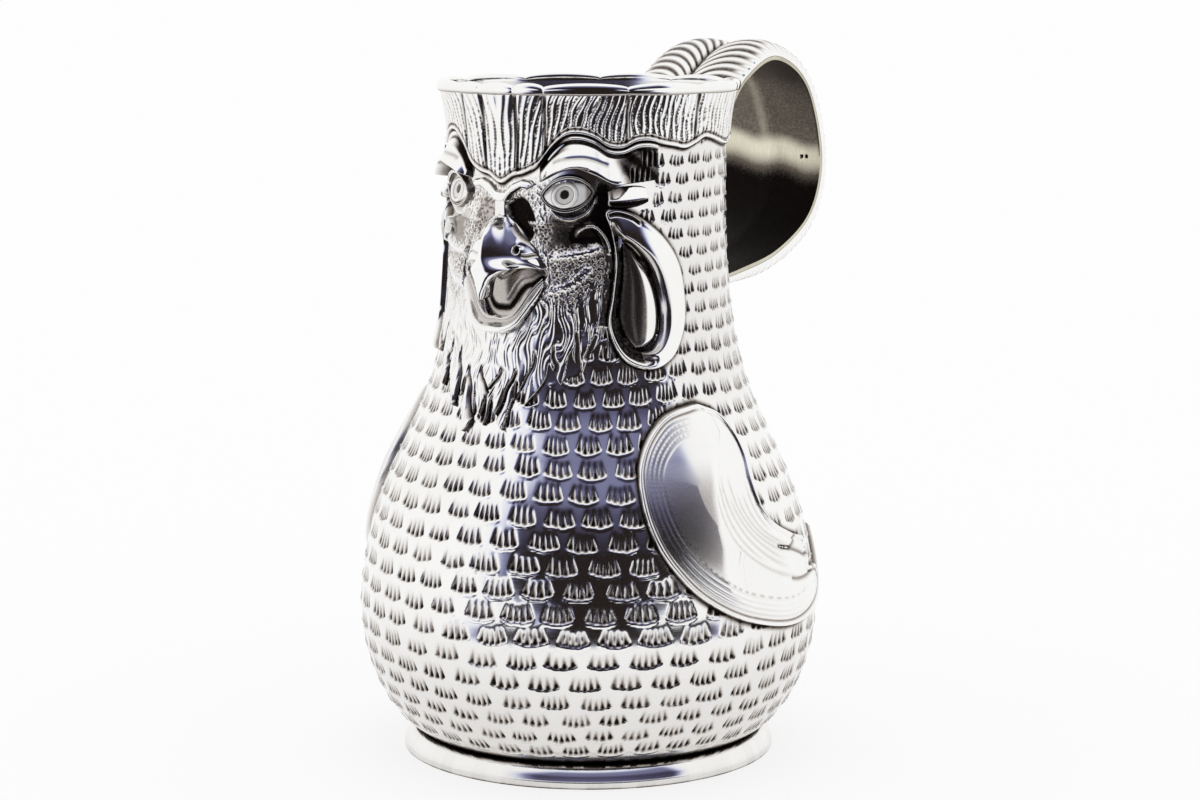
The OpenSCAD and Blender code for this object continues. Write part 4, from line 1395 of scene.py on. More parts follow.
@dataclass
class Beak(Part):
    """The hooked upper beak and the lower beak's lip."""

    out: float = 10.2
    sheet_t: float = 2.0
    lip: float = 4.4
    hook: float = 0.6
    flap: tuple = ((4.2, 160.6), (5.6, 158.4), (7.6, 156.8), (10.4, 155.3), (12.4, 154.6))
    under: tuple = ((13.0, 152.2), (11.0, 151.9), (8.6, 151.4), (7.2, 151.6))
    nostril: tuple = ((5.8, 153.3), (0.8, 1.15))
    swelling: tuple[float, float] = (6.6, 155.0)
    knob: tuple[float, float] = (1.0, 161.8)
    under_knob: tuple[float, float] = (1.2, 160.6)
    lip_profile: tuple[float, ...] = (0.3, 0.42, 0.36, 0.42, 0.62, 0.88, 1.0, 1.0, 0.78, -0.05)
    ridge_z: tuple[float, ...] = (0, 0.04, 0.095, 0.18, 0.28, 0.38, 0.475, 0.57, 0.66, 0.74, 0.81)
    ridge_out: tuple[float, ...] = (0.1, 0.36, 0.62, 0.82, 0.93, 0.98, 1, 1, 1, 0.995, 0.96)
    edge_s: tuple[float, ...] = (0.12, 0.25, 0.41, 0.6, 0.79, 0.93, 1, 0.63, 0.33, 0.17, 0.06)
    edge_z: tuple[float, ...] = (0, 0.04, 0.1, 0.19, 0.31, 0.42, 0.515, 0.455, 0.5, 0.6, 0.77)
    edge_out: tuple[float, ...] = (0.03, 0.04, 0.06, 0.08, 0.1, 0.11, 0.12, 0.36, 0.66, 0.74, 0.62)
    mouth_in: tuple = ((0.98, 0.615), (0.82, 0.69), (0.66, 0.785), (0.52, 0.89), (0.37, 0.97), (0.18, 1.005), (0, 1.0))
    mouth_out: tuple = ((1.02, 0.68), (0.94, 0.765), (0.8, 0.87), (0.67, 0.97), (0.53, 1.065), (0.3, 1.13), (0, 1.14))

    def build(self, bench: Bench) -> None:
        """Makes both halves of the beak and puts them on the bench."""
        self.build_hook(bench)
        self.build_lip(bench)

    def build_hook(self, bench: Bench) -> None:
        """Makes the hooked upper half.

        Args:
            bench: takes the piece.
        """
        jug = self.jug
        half = jug.beak_w / 2
        t, v = net((0, 1, 150), (-1, 1, 121))
        b = np.abs(v)
        s = half * curve(self.edge_s, t) * v
        z = jug.beak_top - jug.beak_h * blend(curve(self.ridge_z, t), curve(self.edge_z, t), b**1.6)
        # ridge, broader towards the tip
        near_tip = rise(0.5, 0.74, t)
        hump = np.exp(-((b / blend(0.31, 0.68, near_tip)) ** blend(2.0, 2.8, near_tip)))
        lift = self.out * blend(curve(self.edge_out, t), curve(self.ridge_out, t), hump)
        a = np.abs(s)
        back = np.where(t > self.hook, np.maximum(lift - self.sheet_t, -0.5), -0.5)
        # nostril, flaps and knob
        hole = rise(1.25, 0.5, spot(a, z, *self.nostril))
        flap, under = line_cut(a, z, self.flap, 0.75), line_cut(a, z, self.under, 0.4)
        knob = bell(spot(a, z, self.knob), 1.3)
        beside = bell(spot(a, z, self.swelling), 1.2)
        lift = lift - 1.1 * hole - 0.75 * flap - 0.45 * under + 0.35 * beside + 0.5 * knob
        rolled = rise(0.9, 1.0, b)
        lift -= 0.35 * rolled**2 * (t < 0.97)
        # painted shade in the nostril, the flaps and along the sides, weaker on the right side as the lit side, and at
        # the root and under the knob
        sooted_and_shaded = np.where(s < 0, 0.3, 1)
        soot = 1.0 * hole + 0.75 * np.clip(flap, 0, 1) + 0.8 * under + 0.85 * rise(0.96, 1.0, b) * (t < 0.55)
        soot *= sooted_and_shaded
        soot += 0.7 * rise(0.05, 0.0, t) + 0.8 * bell(spot(a, z, self.under_knob), 0.6)
        angle = jug.angle(s)
        sheet = Sheet("beak_hook").grid(jug.lay(angle, z, lift), soot)
        # the back is painted darker as shade
        sheet.grid(jug.lay(angle, z, back), 0.35, inwards=True)
        # edges between the front and the back
        for side in (0, -1):
            rim = np.stack([jug.lay(angle, z, lift)[:, side], jug.lay(angle, z, back)[:, side]], 1)
            core = rim.mean((0, 1)) * [0, 1, 1] + np.zeros_like(rim)
            sheet.grid(rim, 0.2, core=core)
        rim = np.stack([jug.lay(angle, z, lift)[-1], jug.lay(angle, z, back)[-1]], 1)
        sheet.grid(rim, 0.2, core=rim + [0, 0, 3])
        bench.put(sheet, POLISHED, "upper_beak", crease=50)

    def build_lip(self, bench: Bench) -> None:
        """Makes the lower half, the lip round the mouth.

        Args:
            bench: takes the piece.
        """
        jug = self.jug
        half = jug.beak_w / 2
        t, k = net((-1, 1, 220), (-0.15, 1.12, 36))
        p, q = curve(self.mouth_in, 1 - np.abs(t)), curve(self.mouth_out, 1 - np.abs(t))
        place = blend(p, q, k[..., None])
        s = half * np.sign(t) * place[..., 0]
        z = jug.beak_top - jug.beak_h * place[..., 1]
        shape = curve(self.lip_profile, (k + 0.15) / 1.27)
        lift = self.lip * shape * blend(0.28, 1, (1 - np.abs(t)) ** 0.8)
        # painted shadow round the outer edge, a painted dark stripe along the lip, and painted shade at its inner edge
        soot = 0.8 * rise(0.98, 1.1, k) + 0.32 * bell(k - 0.2, 0.28) + 0.3 * rise(-0.02, -0.15, k)
        bench.put(Sheet("beak_lip").grid(jug.lay(jug.angle(s), z, lift), soot), POLISHED, "lower_beak")


@dataclass
class Cheeks(Part):
    """Stippled cheeks with the ear fold as their back edge."""

    height: float = 0.6
    fold: float = 1.5
    front: tuple[float, ...] = (0.5, 0.68, 0.86, 1.07, 1.13, 1.09, 0.98, 0.8, 0.62)
    back: tuple[float, ...] = (0.93, 0.965, 0.975, 0.985, 1, 1.015, 0.995, 0.94, 0.82)
    fold_path: tuple = (
        (22.8, 157.2), (23.9, 159.0), (26.0, 160.3), (28.4, 160.1), (30.2, 158.3), (31.6, 156.0), (32.3, 153.4),
    )  # fmt: skip
    high_band: tuple = ((14.5, 151.4), (18.6, 151.8), (22.7, 152.4), (26.8, 153.2), (30.1, 154.4))
    low_band: tuple = ((14.6, 142.3), (18.7, 142.7), (22, 144.2), (24.1, 146.2), (27.6, 148.7))
    ear_hole: tuple = ((26.9, 157), (2.2, 1))
    shaded_pits: tuple = (((12.9, 152.4), (1, 1.5)), ((14.6, 147), (1, 2)))

    def build(self, bench: Bench) -> None:
        """Makes the cheeks and puts them on the bench.

        Args:
            bench: takes the pieces.
        """
        jug = self.jug
        high, tall = jug.beak_top - jug.beak_h * 0.06, jug.beak_h * 1.03
        t, v = net((0, 1, 190), (0, 1, 140))
        s0 = jug.beak_w / 2 * curve(self.front, t)
        s1 = (jug.lobe_s - 0.1) * curve(self.back, t)
        s = blend(s0, s1, v)
        z = high + tall * (t - 1)
        # ear fold and the hole in front of it
        d, place = path_distance(s, z, self.fold_path)
        ridge = bell(d, 0.6) * rise(0.0, 0.2, place)
        inner = bell(spot(s, z, *self.ear_hole), 1.4)
        # smooth bands, which are painted lighter as highlights, hair below them, marks and streaks between
        bands = line_cut(s, z, self.high_band, 1.1) + line_cut(s, z, self.low_band, 1.4)
        strands, between = hair(s, z)
        furry = rise(144, 136, z + 2.2 * np.sin(s / 2.6) - 0.15 * (s - 20))
        marks = punched(s, z, 1.25, 0.52, 11) * (1 - 0.75 * np.clip(bands, 0, 1))
        streak = punched(s, z / 2.2, 1.0, 0.36, 17)
        smooth = rise(153.8, 155.8, z - 0.12 * (s - 20) + 0.5 * np.sin(s * 1.3))
        smooth *= rise(14.5, 17.5, s + 0.4 * np.sin(z * 2))
        # heights, then soot and painted shade: the smooth upper part is painted dark as shadow, and the ear hole, two
        # pits that have no hollow of their own and a line beside the fold are painted dark as shade
        plump = 0.45 * bell(s - 21, 7) * bell(z - 148, 8)
        lift = self.height + plump - 0.3 * marks * (1 - furry) * (1 - smooth) + strands * furry + 0.6 * bands
        lift += (self.fold + 0.3) * ridge - 0.8 * inner
        lift -= 0.5 * bell(s - 16.5, 1.0) * bell(z - 150, 4)
        ground = (0.66 * marks + 0.3 * streak + 0.1) * (1 - 0.8 * np.clip(bands, 0, 1))
        soot = blend(ground, 0.78, smooth) * (1 - furry) + between * furry + 0.85 * inner
        soot += sum(0.9 * bell(spot(s, z, *pit), 1.1) for pit in self.shaded_pits)
        soot = soot * (1 - 0.95 * np.clip(ridge, 0, 1)) + 0.4 * bell(d - 1.3, 0.5)
        # rounded edge
        side = np.minimum(v * (s1 - s0), (1 - v) * (s1 - s0) + 0.3)
        lift = blend(-0.3, lift, rise(0, 0.7, side) * rise(0, 0.05, 1 - t))
        bench.put_pair(Sheet("cheek_skin").grid(jug.lay(jug.angle(s), z, lift), soot), CHASED, "cheek")


@dataclass
class Beard(Part):
    """Pointed wavy locks under the beak."""

    half: float = 31.0
    long: float = 27.5
    height: float = 1.5
    tips: int = 9
    shares: tuple[float, ...] = (1, 0.9, 0.74, 0.56, 0.38, 0.22)
    gaps: tuple = (
        ((3.3, 120.9), (2.9, 117.4), (1.0, 114.5), (-0.3, 111.6), (0.2, 107.2), (0.0, 103.6), (0.0, 101.4)),
        ((7.5, 120.3), (7.2, 117.2), (5.7, 113.8), (5.2, 110.4), (4.3, 107.6), (3.4, 105.6)),
        ((8.1, 116.7), (8.3, 112.6), (8.8, 109.1)),
        ((12.3, 125.4), (12.3, 121.2), (10.8, 116.9), (10.2, 112.7), (10.1, 109.2)),
        ((17.3, 127.0), (17.2, 123.3), (18.3, 120.6), (17.2, 117.8), (15.9, 114.4)),
        ((22.9, 131.3), (23.5, 127.1), (23.5, 123.5), (24.0, 120.1)),
        ((28.6, 129.9), (27.5, 127.1), (26.0, 123.5)),
    )  # fmt: skip

    def build(self, bench: Bench) -> None:
        """Makes the beard and puts it on the bench.

        Args:
            bench: takes the pieces.
        """
        jug = self.jug
        lip = jug.beak_top - jug.beak_h * 1.14 - jug.gap
        side_top = jug.beak_top - jug.beak_h * 1.09 - jug.gap
        s, z = net((-32.5, 32.5, 460), (133.5, 98, 230))
        a = np.abs(s)
        mouth = jug.beak_w * 0.25
        top = np.where(a < mouth, blend(side_top, lip, np.clip(1 - a / mouth, 0, 1) ** 0.6), side_top)
        # wavy locks with pointed ends
        down = np.clip((top - z) / self.long, 0, 1.3)
        sway = 1.0 * np.sin(z / 3.4 + s / 9) * rise(0, 0.3, down)
        flow = s * (1 + 0.22 * down) + sway * 1.3
        lock = flow / (2 * self.half / self.tips) + 0.5
        inside = np.abs(lock - np.floor(lock) - 0.5) * 2
        k = np.floor(lock)
        length = self.long * curve(self.shares, a / self.half) * (0.93 + 0.2 * chance(k, 2, 5))
        low = lip - length + self.long * 0.3 * inside**1.3
        # gaps between the locks, with painted shade in them
        gap = rise(0.7, 0.98, inside) * rise(0.55, 1.0, (top - z) / np.maximum(length, 1))
        for path in self.gaps:
            d, place = path_distance(a, z, path, steps=40)
            gap = np.maximum(gap, bell(d, blend(0.3, 0.75, place)) * rise(0.0, 0.2, place))
        strands, between = hair(s, z)
        # roundness of a lock, and the hair on it
        curl = 0.5 * np.sqrt(np.clip(1 - inside**2, 0, 1)) * rise(0.2, 0.7, down)
        lift = blend(0.6, 0.75 * self.height, rise(0, 0.2, down)) + curl + strands * 1.15 - 1.4 * gap
        soot = between + 0.95 * gap
        over = z - low
        side = np.minimum(np.minimum(over, (self.half + 1.2 - a) * 1.2), (top + 1.6 - z) * 1.5)
        lift = blend(-0.4, lift, rise(0, 0.8, side))
        # painted shadow along the locks' lower ends
        soot += 0.8 * (1 - rise(0.2, 0.9, over))
        points = jug.lay(jug.angle(s), z, lift)
        bench.put(Sheet("beard_locks").grid(points, soot, keep=side > -0.4), CHASED, "beard")


@dataclass
class EarLobes(Part):
    """Hanging ear lobes, a thick rim round a hollow, and the smooth leaf inside."""

    height: float = 2.8
    leaf: float = 1.8
    outer: tuple = (
        (0.45, 0), (0.67, 0.03), (0.85, 0.12), (0.985, 0.29), (1, 0.49), (0.93, 0.66), (0.74, 0.81), (0.45, 0.935),
        (0.17, 1), (0, 0.98), (0.06, 0.86), (0.11, 0.68), (0.07, 0.46), (0.02, 0.3), (0.08, 0.16), (0.22, 0.05),
    )  # fmt: skip
    inner: tuple = (
        (0.4, 0.11), (0.51, 0.125), (0.6, 0.17), (0.665, 0.26), (0.675, 0.39), (0.62, 0.54), (0.51, 0.66),
        (0.345, 0.745), (0.24, 0.79), (0.175, 0.82), (0.165, 0.76), (0.18, 0.65), (0.145, 0.47), (0.125, 0.32),
        (0.18, 0.215), (0.28, 0.14),
    )  # fmt: skip
    leaf_left: tuple = (
        (0.33, 0.14), (0.22, 0.22), (0.165, 0.33), (0.18, 0.47), (0.205, 0.6), (0.205, 0.72), (0.2, 0.78),
    )  # fmt: skip
    leaf_right: tuple = (
        (0.43, 0.14), (0.58, 0.2), (0.635, 0.31), (0.62, 0.44), (0.53, 0.58), (0.38, 0.69), (0.23, 0.78),
    )  # fmt: skip
    slit: tuple = ((31.9, 163.4), (34.5, 163.9), (38.4, 162.7), (41, 160.9))
    twin: tuple = ((33.6, 157.2), (37.6, 155.6), (41.6, 151.6), (44.6, 146.4))
    thick: tuple[float, ...] = (-0.5, 0.8, 2.2, 2.75, 2.78, 2.66, 2.48, 2.27, 2.04, 1.8, 1.6, 1.2, -0.5)
    thin: tuple[float, ...] = (-0.5, 0.0, 0.15, 0.3, 0.7, 1.7, 2.05, 1.4, -0.5)

    def build(self, bench: Bench) -> None:
        """Makes the lobes and their leaves and puts them on the bench."""
        self.build_rims(bench)
        self.build_leaves(bench)

    def build_rims(self, bench: Bench) -> None:
        """Makes the thick rims.

        Args:
            bench: takes the pieces.
        """
        jug = self.jug
        i, k = net((0, 1, 420), (-0.12, 1.08, 64), ring=True)
        p, q = ring_curve(self.inner, i), ring_curve(self.outer, i)
        place = jug.lobe_place(blend(p, q, k[..., None]))
        s, z = place[..., 0], place[..., 1]
        u = (k + 0.12) / 1.2
        back = rise(-0.03, 0.06, i) * rise(0.62, 0.5, i)
        lift = blend(curve(self.thin, u), curve(self.thick, u), back)
        # lines along the rim, with painted shade in them, round both edges and over the inner half of the thin part
        slit, twin = line_cut(s, z, self.slit, 0.5), line_cut(s, z, self.twin, 0.4)
        lift -= 0.9 * slit + 0.5 * twin
        edge = rise(0.9, 1.02, k)
        soot = 0.9 * slit + 0.7 * twin + 0.85 * edge + 0.8 * rise(0.02, -0.08, k)
        soot += (1 - back) * 0.85 * rise(0.66, 0.5, u) + 0.3 * bell(u - 0.2, 0.08) * back
        bench.put_pair(Sheet("lobe_rim").grid(jug.lay(jug.angle(s), z, lift), soot, around=True), POLISHED, "ear_lobe")

    def build_leaves(self, bench: Bench) -> None:
        """Makes the smooth leaves inside the rims.

        Args:
            bench: takes the pieces.
        """
        jug = self.jug
        t, v = net((0, 1, 140), (-0.1, 1.1, 70))
        p, q = curve(self.leaf_left, t), curve(self.leaf_right, t)
        place = jug.lobe_place(blend(p, q, v[..., None]))
        s, z = place[..., 0], place[..., 1]
        full = np.clip(bump(v), 0, 1) ** 0.7 * np.clip(bump(t), 0, 1) ** 0.6
        lift = self.leaf * blend(0.15, 1, full)
        lift += 0.25 * bell((v - 0.62) / 0.12, 1.0) * bump(t)
        lift -= 0.2 * bell((v - 0.36) / 0.1, 1.0) * bump(t)
        edge = np.minimum(v, 1 - v)
        lift = blend(-0.5, lift, rise(-0.1, 0.04, edge))
        # the leaf is painted dark as shade, with a painted highlight streak and a painted bright back edge, and darker
        # at the sides and towards its upper end
        streak = bell((v - 0.42) / 0.14, 1.0) * bump(t * 0.9)
        crescent = rise(0.6, 0.68, v) * rise(0.97, 0.88, v) * rise(0.95, 0.7, t)
        soot = 0.62 - 0.3 * streak + 0.3 * rise(0.09, -0.02, edge) + 0.2 * rise(0.5, 0.95, t)
        soot *= 1 - 0.97 * crescent
        bench.put_pair(Sheet("lobe_leaf").grid(jug.lay(jug.angle(s), z, lift), soot), POLISHED, "ear_leaf")


@dataclass
class Wings(Part):
    """Smooth comma-shaped wings with stacked feather tips at their tails."""

    start: float = 61
    long: float = 97
    below: float = 1.3
    gap: float = 9.9
    height: float = 3.6
    edge: float = 1.1
    back: tuple = (
        (0.315, 0.998), (0.42, 0.95), (0.475, 0.86), (0.49, 0.76), (0.475, 0.66), (0.48, 0.56),
        (0.52, 0.475), (0.59, 0.42), (0.67, 0.38), (0.75, 0.365), (0.83, 0.4), (0.87, 0.5),
    )  # fmt: skip
    front: tuple = (
        (0.28, 0.998), (0.15, 0.965), (0.06, 0.88), (0.01, 0.77), (0, 0.65), (0.02, 0.5),
        (0.075, 0.345), (0.18, 0.185), (0.35, 0.06), (0.6, 0), (0.86, 0.1), (1, 0.36),
    )  # fmt: skip
    feathers: tuple[float, ...] = (0.77, 0.81, 0.825, 0.83, 0.88, 0.9, 0.905, 0.96, 1)
    crease_z: tuple[float, ...] = (52, 58, 64.4, 70.3, 75.9, 83.9, 91.8, 96.5, 101)
    crease_s: tuple[float, ...] = (94, 87, 84.5, 85, 84.3, 84.7, 87.1, 89, 94)
    ring_gaps: tuple[float, ...] = (3.2, 4.7, 6.2, 7.7)
    dashes: int = 165
    strokes: int = 9
    tip_cuts: tuple = (
        ((110.7, 67.7), (114.6, 66.6), (118.5, 66.1), (121.3, 67.5), (122.3, 70)),
        ((112, 67.2), (118.9, 65.5), (124, 63.8), (128.5, 62.2), (131, 63)),
        ((114.9, 57.7), (119.5, 56.7), (124, 56.2), (129.5, 56.2), (134.7, 57), (136, 60)),
    )

    def place(self, t: Array, v: Array) -> tuple[Array, Array]:
        """Place of a point of the wing.

        Args:
            t: share of the way from the head to the tail.
            v: share of the way from the back edge to the front.

        Returns:
            Lengths along the belly, and heights.
        """
        low, high = self.jug.belly_z - self.below, self.jug.lobe_z - self.gap
        j = v * (len(self.feathers) - 1)
        t = t * np.interp(j, np.arange(len(self.feathers)), self.feathers)
        p = blend(curve(self.back, t), curve(self.front, t), v[..., None])
        return self.start + self.long * p[..., 0], blend(low, high, p[..., 1])

    def outline(self) -> Array:
        """Points round the wing.

        Returns:
            The points, as lengths along the belly and heights.
        """
        t = np.linspace(0, 1, 40)
        v = np.linspace(0, 1, 25)
        sides = [self.place(t, np.ones(40)), self.place(np.ones(25), v[::-1]), self.place(t[::-1], np.zeros(40))]
        return np.concatenate([np.stack(side, -1) for side in sides])

    def build(self, bench: Bench) -> None:
        """Makes the wings and puts them on the bench.

        Args:
            bench: takes the pieces.
        """
        jug = self.jug
        t, v = net((0, 1, 420), (0, 1, 190))
        s, z = self.place(t, v)
        d, around = path_distance(s, z, self.outline(), closed=True, steps=260)
        crease = np.interp(z, self.crease_z, self.crease_s)
        past = np.maximum(s - crease, 0)
        # dome, which falls away behind the crease
        lift = self.edge + 0.9 * (1 - np.exp(-d / 1.2)) + 0.115 * np.minimum(d, 24)
        lift = np.clip(lift - np.minimum(0.3 * past, 1.9), self.edge, self.height + 0.6)
        fan = rise(0.5, 3.0, past) * rise(97, 90, z)
        lift -= 0.1 * fan * np.abs(np.sin((past - 0.25 * z) * 1.7)) * rise(0, 3, d)
        # rim and groove along the edge
        rim = bell(d - 0.8, 0.55)
        groove = bell(d - 1.85, 0.35)
        lift += 0.4 * rim - 0.3 * groove
        # painted shade in the groove on the front side
        soot = 0.55 * groove * rise(0.35, 0.6, v)
        # rings along the front, each with a row of dashes
        dash = 0.5 + 0.5 * np.sin(2 * np.pi * around * self.dashes)
        front = rise(0.55, 0.75, v)
        for n, gap in enumerate(self.ring_gaps):
            ring = bell(d - gap, 0.38) * front * rise(0.02, 0.15, t) * rise(0.93, 0.7 - 0.06 * n, t)
            lift -= 0.1 * ring
            rope = dash * bell(d - gap - 0.7, 0.35) * front * rise(0.1, 0.2, t) * rise(0.62 - 0.1 * n, 0.4, t)
            soot += 0.16 * ring + 0.3 * rope
        # painted reflection: a dark patch in front of the crease
        soot += 0.32 * rise(5, 11, d) * rise(1.5, -1.5, s - crease) * rise(60, 68, z) * rise(96, 84, z)
        # strokes over the back
        inner = rise(0.72, 0.5, v) * rise(0.36, 0.5, t) * rise(0.97, 0.8, t)
        for n in range(self.strokes):
            at = 0.05 + 0.05 * n + 0.012 * np.sin(9 * t + n)
            begin, end = 0.38 + 0.1 * chance(n, 0, 1), 0.72 + 0.2 * chance(n, 0, 2)
            stroke = bell((v - at) * np.maximum(bump(t) * 40, 12), 0.42)
            stroke *= rise(begin, begin + 0.08, t) * rise(end, end - 0.1, t)
            lift -= 0.07 * stroke
            soot += 0.16 * stroke
        lift -= 0.05 * inner
        # feather tips
        for cut in self.tip_cuts:
            c = line_cut(s, z, cut, 0.6)
            lift -= 0.5 * c
            soot += 0.5 * c
        lift = blend(-0.4, lift, rise(0, 0.45, d))
        # painted shadow round the edge
        soot += 0.75 * (1 - rise(0.1, 0.5, d))
        bench.put_pair(Sheet("wing_dome").grid(jug.lay(jug.belly_angle(s), z, lift), soot), SATIN, "wing")


@dataclass
class Tail(Part):
    """The hollow two-lobed tail that is the handle, and the plate that closes it."""

    width: float = 38
    reach: float = 98.8
    over: float = 5.7
    drop: float = 61
    sheet_t: float = 1.0
    plate_t: float = 1.0
    lobes_top: float = 3.4
    lobes_back: float = 9.2
    valley: float = 148
    barb_pitch: float = 3.1
    barb_slant: float = 17
    vents_x: float = 0.68
    vents_apart: float = 0.9
    shade_z: float = 175.5
    line_shares: tuple = (
        (-0.12, 0.58), (0.06, 0.74), (0.25, 0.91), (0.54, 1), (0.85, 0.86), (1, 0.52), (0.9, 0.25),
        (0.57, 0.08), (0.2, 0.01), (-0.12, -0.02),
    )  # fmt: skip

    def line(self, t: Array) -> Array:
        """Points of the plate's line.

        Args:
            t: places along the line, 0 to 1.

        Returns:
            Distances from the axis and heights.
        """
        p = curve(self.line_shares, t)
        return np.stack([
            blend(self.jug.neck_r, self.reach, p[..., 0]),
            blend(self.jug.height - self.drop, self.jug.height + self.over, p[..., 1]),
        ], -1)

    def outwards(self, t: Array) -> Array:
        """Direction across the line, away from the finger gap."""
        d = self.line(np.minimum(t + 0.01, 1)) - self.line(np.maximum(t - 0.01, 0))
        return np.stack([-d[..., 1], d[..., 0]], -1) / np.linalg.norm(d, axis=-1, keepdims=True)

    def point(self, t: Array, x: Array, h: Array) -> Array:
        """Point at a place along the line, a distance across it and a height out of it."""
        p = self.line(t) + self.outwards(t) * np.asarray(h)[..., None]
        return np.stack([np.broadcast_to(x, p.shape[:-1]), p[..., 0], p[..., 1]], -1)

    def lobes(self, t: Array) -> Array:
        """Height of the lobes along the tail."""
        return blend(self.lobes_top, self.lobes_back, bump((t - 0.22) / 0.75) ** 1.5)

    def seat(self, x: Array, h: Array, inside: float) -> Array:
        """Place where each strand leaves the neck, found by halving.

        Args:
            x: distance of each strand from the middle.
            h: its height out of the line.
            inside: end of the line that lies inside the neck, 0 or 1.

        Returns:
            The places along the line.
        """
        low, high = np.full(x.shape, inside), np.full(x.shape, 0.5)
        for _ in range(20):
            mid = (low + high) / 2
            p = self.point(mid, x, h)
            clear = np.hypot(p[..., 0], p[..., 1]) > self.jug.outer_r(p[..., 2]) - 0.5
            low, high = np.where(clear, low, mid), np.where(clear, mid, high)
        return high

    def strands(self, x: Array, share: Array, base: float, along: int) -> tuple[Array, Array, Array]:
        """Grid of points along strands.

        Args:
            x: distance of each strand from the middle.
            share: its height as a share of the lobes' height.
            base: height under the lobes.
            along: number of points along it.

        Returns:
            The points, the places along the line and the lengths along each strand.
        """
        t0 = self.seat(x, base + share * self.lobes(np.array(0.0)), 0.0)
        t1 = self.seat(x, base + share * self.lobes(np.array(1.0)), 1.0)
        t = blend(t0[:, None], t1[:, None], np.linspace(0, 1, along)[None])
        h = base + share[:, None] * self.lobes(t)
        points = self.point(t, x[:, None], h)
        step = np.linalg.norm(np.diff(self.point(t, x[:, None], 0 * h), axis=1), axis=-1)
        return points, t, np.concatenate([np.zeros((len(x), 1)), np.cumsum(step, 1)], 1)

    def build(self, bench: Bench) -> None:
        """Makes the tail and its plate and puts them on the bench.

        Args:
            bench: takes the pieces.
        """
        half = self.width / 2
        along = steps(560)
        w = np.linspace(0, 1, steps(100))
        # section of two lobes with a valley between
        arc = np.radians(self.valley) * w
        low = math.cos(math.radians(self.valley))
        x = (np.cos(arc) - low) / (1 - low)
        x, share = np.concatenate([x, -x[-2::-1]]) * half, np.concatenate([np.sin(arc), np.sin(arc)[-2::-1]])
        w = np.concatenate([w, w[-2::-1]])[:, None]
        points, t, length = self.strands(x, share, 0.0, along)
        height, soot = self.barbs(w, length)
        # barbs stand square to the lobes
        du, dv = np.gradient(points, axis=0), np.gradient(points, axis=1)
        normal = np.cross(du, dv)
        normal /= np.maximum(np.linalg.norm(normal, axis=-1, keepdims=True), 1e-9)
        core = self.point(t, 0 * x[:, None], 0 * t)
        normal *= np.sign(np.sum(normal * (points - core), -1, keepdims=True).mean())
        points = points + normal * height[..., None]
        sheet = Sheet("tail_lobes").grid(points, soot, core=core)
        # flat side, which the plate covers
        floor, ft, _ = self.strands(np.linspace(half, -half, 24), np.zeros(24), 0.0, along)
        sheet.grid(floor, 0.2, core=self.point(ft, 0 * ft, 0 * ft + 3))
        bench.put(sheet, CHASED, "tail_shell", crease=60)
        self.build_plate(bench, along)

    def barbs(self, w: Array, length: Array) -> tuple[Array, Array]:
        """Feather barbs that branch from the valley.

        Args:
            w: places from a side, 0, to the valley, 1.
            length: lengths along the tail.

        Returns:
            Height, and soot with painted shade in the cuts and the valley.
        """
        slant = length - self.barb_slant * (1 - w) ** 1.2
        v = slant / self.barb_pitch + 0.25 * np.sin(length / 9)
        i = np.floor(v)
        f = v - i - 0.5
        wide = 0.2 + 0.12 * chance(i, 0, 3)
        shaft = rise(1.0, 0.9, w)
        start = 0.12 + 0.14 * chance(i, 1, 4)
        cut = np.clip(1 - (f / wide) ** 2, 0, 1) ** 0.8 * rise(start, start + 0.2, w) * rise(1.0, 0.93, w)
        fine = np.clip(1 - ((v * 2 - np.floor(v * 2) - 0.5) / 0.22) ** 2, 0, 1) * rise(0.05, 0.3, w) * rise(0.8, 0.5, w)
        deep = bell(1 - w, 0.05)
        plain = rise(0.0, 0.05, w)
        height = (-0.5 * cut - 0.16 * fine + 0.15 * np.cos(2 * np.pi * f) * shaft) * plain - 0.4 * deep
        return height, (0.8 * cut + 0.25 * fine) * plain + 0.8 * deep

    def build_plate(self, bench: Bench, along: int) -> None:
        """Makes the plate inside the tail, with two shallow pits painted dark as its vent holes.

        Args:
            bench: takes the pieces.
            along: number of points along it.
        """
        half = self.width / 2
        x = np.linspace(half, -half, steps(150))
        sheet = Sheet("tail_inside")
        top, _, _ = self.strands(x, np.zeros_like(x), -self.jug.seam, along)
        low, t, length = self.strands(x, np.zeros_like(x), -self.jug.seam - self.plate_t, along)
        middle = blend(self.jug.height - self.drop, self.jug.height + self.over, 0.51)
        soot, dent = np.zeros(low.shape[:2]), np.zeros(low.shape[:2])
        # vent holes, shallow pits painted dark as holes
        for side in (-1, 1):
            d = np.hypot(low[..., 0] - half * self.vents_x - side * self.vents_apart, low[..., 2] - middle)
            hole = rise(0.62, 0.4, d) * (low[..., 1] > 90)
            dent += 0.9 * hole
            soot += 1.0 * hole
        # slight waves
        centre = bell(x[:, None] - 1.0, 3.2)
        shape = -dent + 0.22 * centre + 0.12 * np.sin(length / 8 + x[:, None] / 9)
        out = self.outwards(t)
        low = low - np.stack([0 * shape, out[..., 0] * shape, out[..., 1] * shape], -1)
        edge = rise(0.9, 0.0, half - np.abs(x))[:, None] * 0.3
        core = self.point(t, 0 * t, 0 * t)
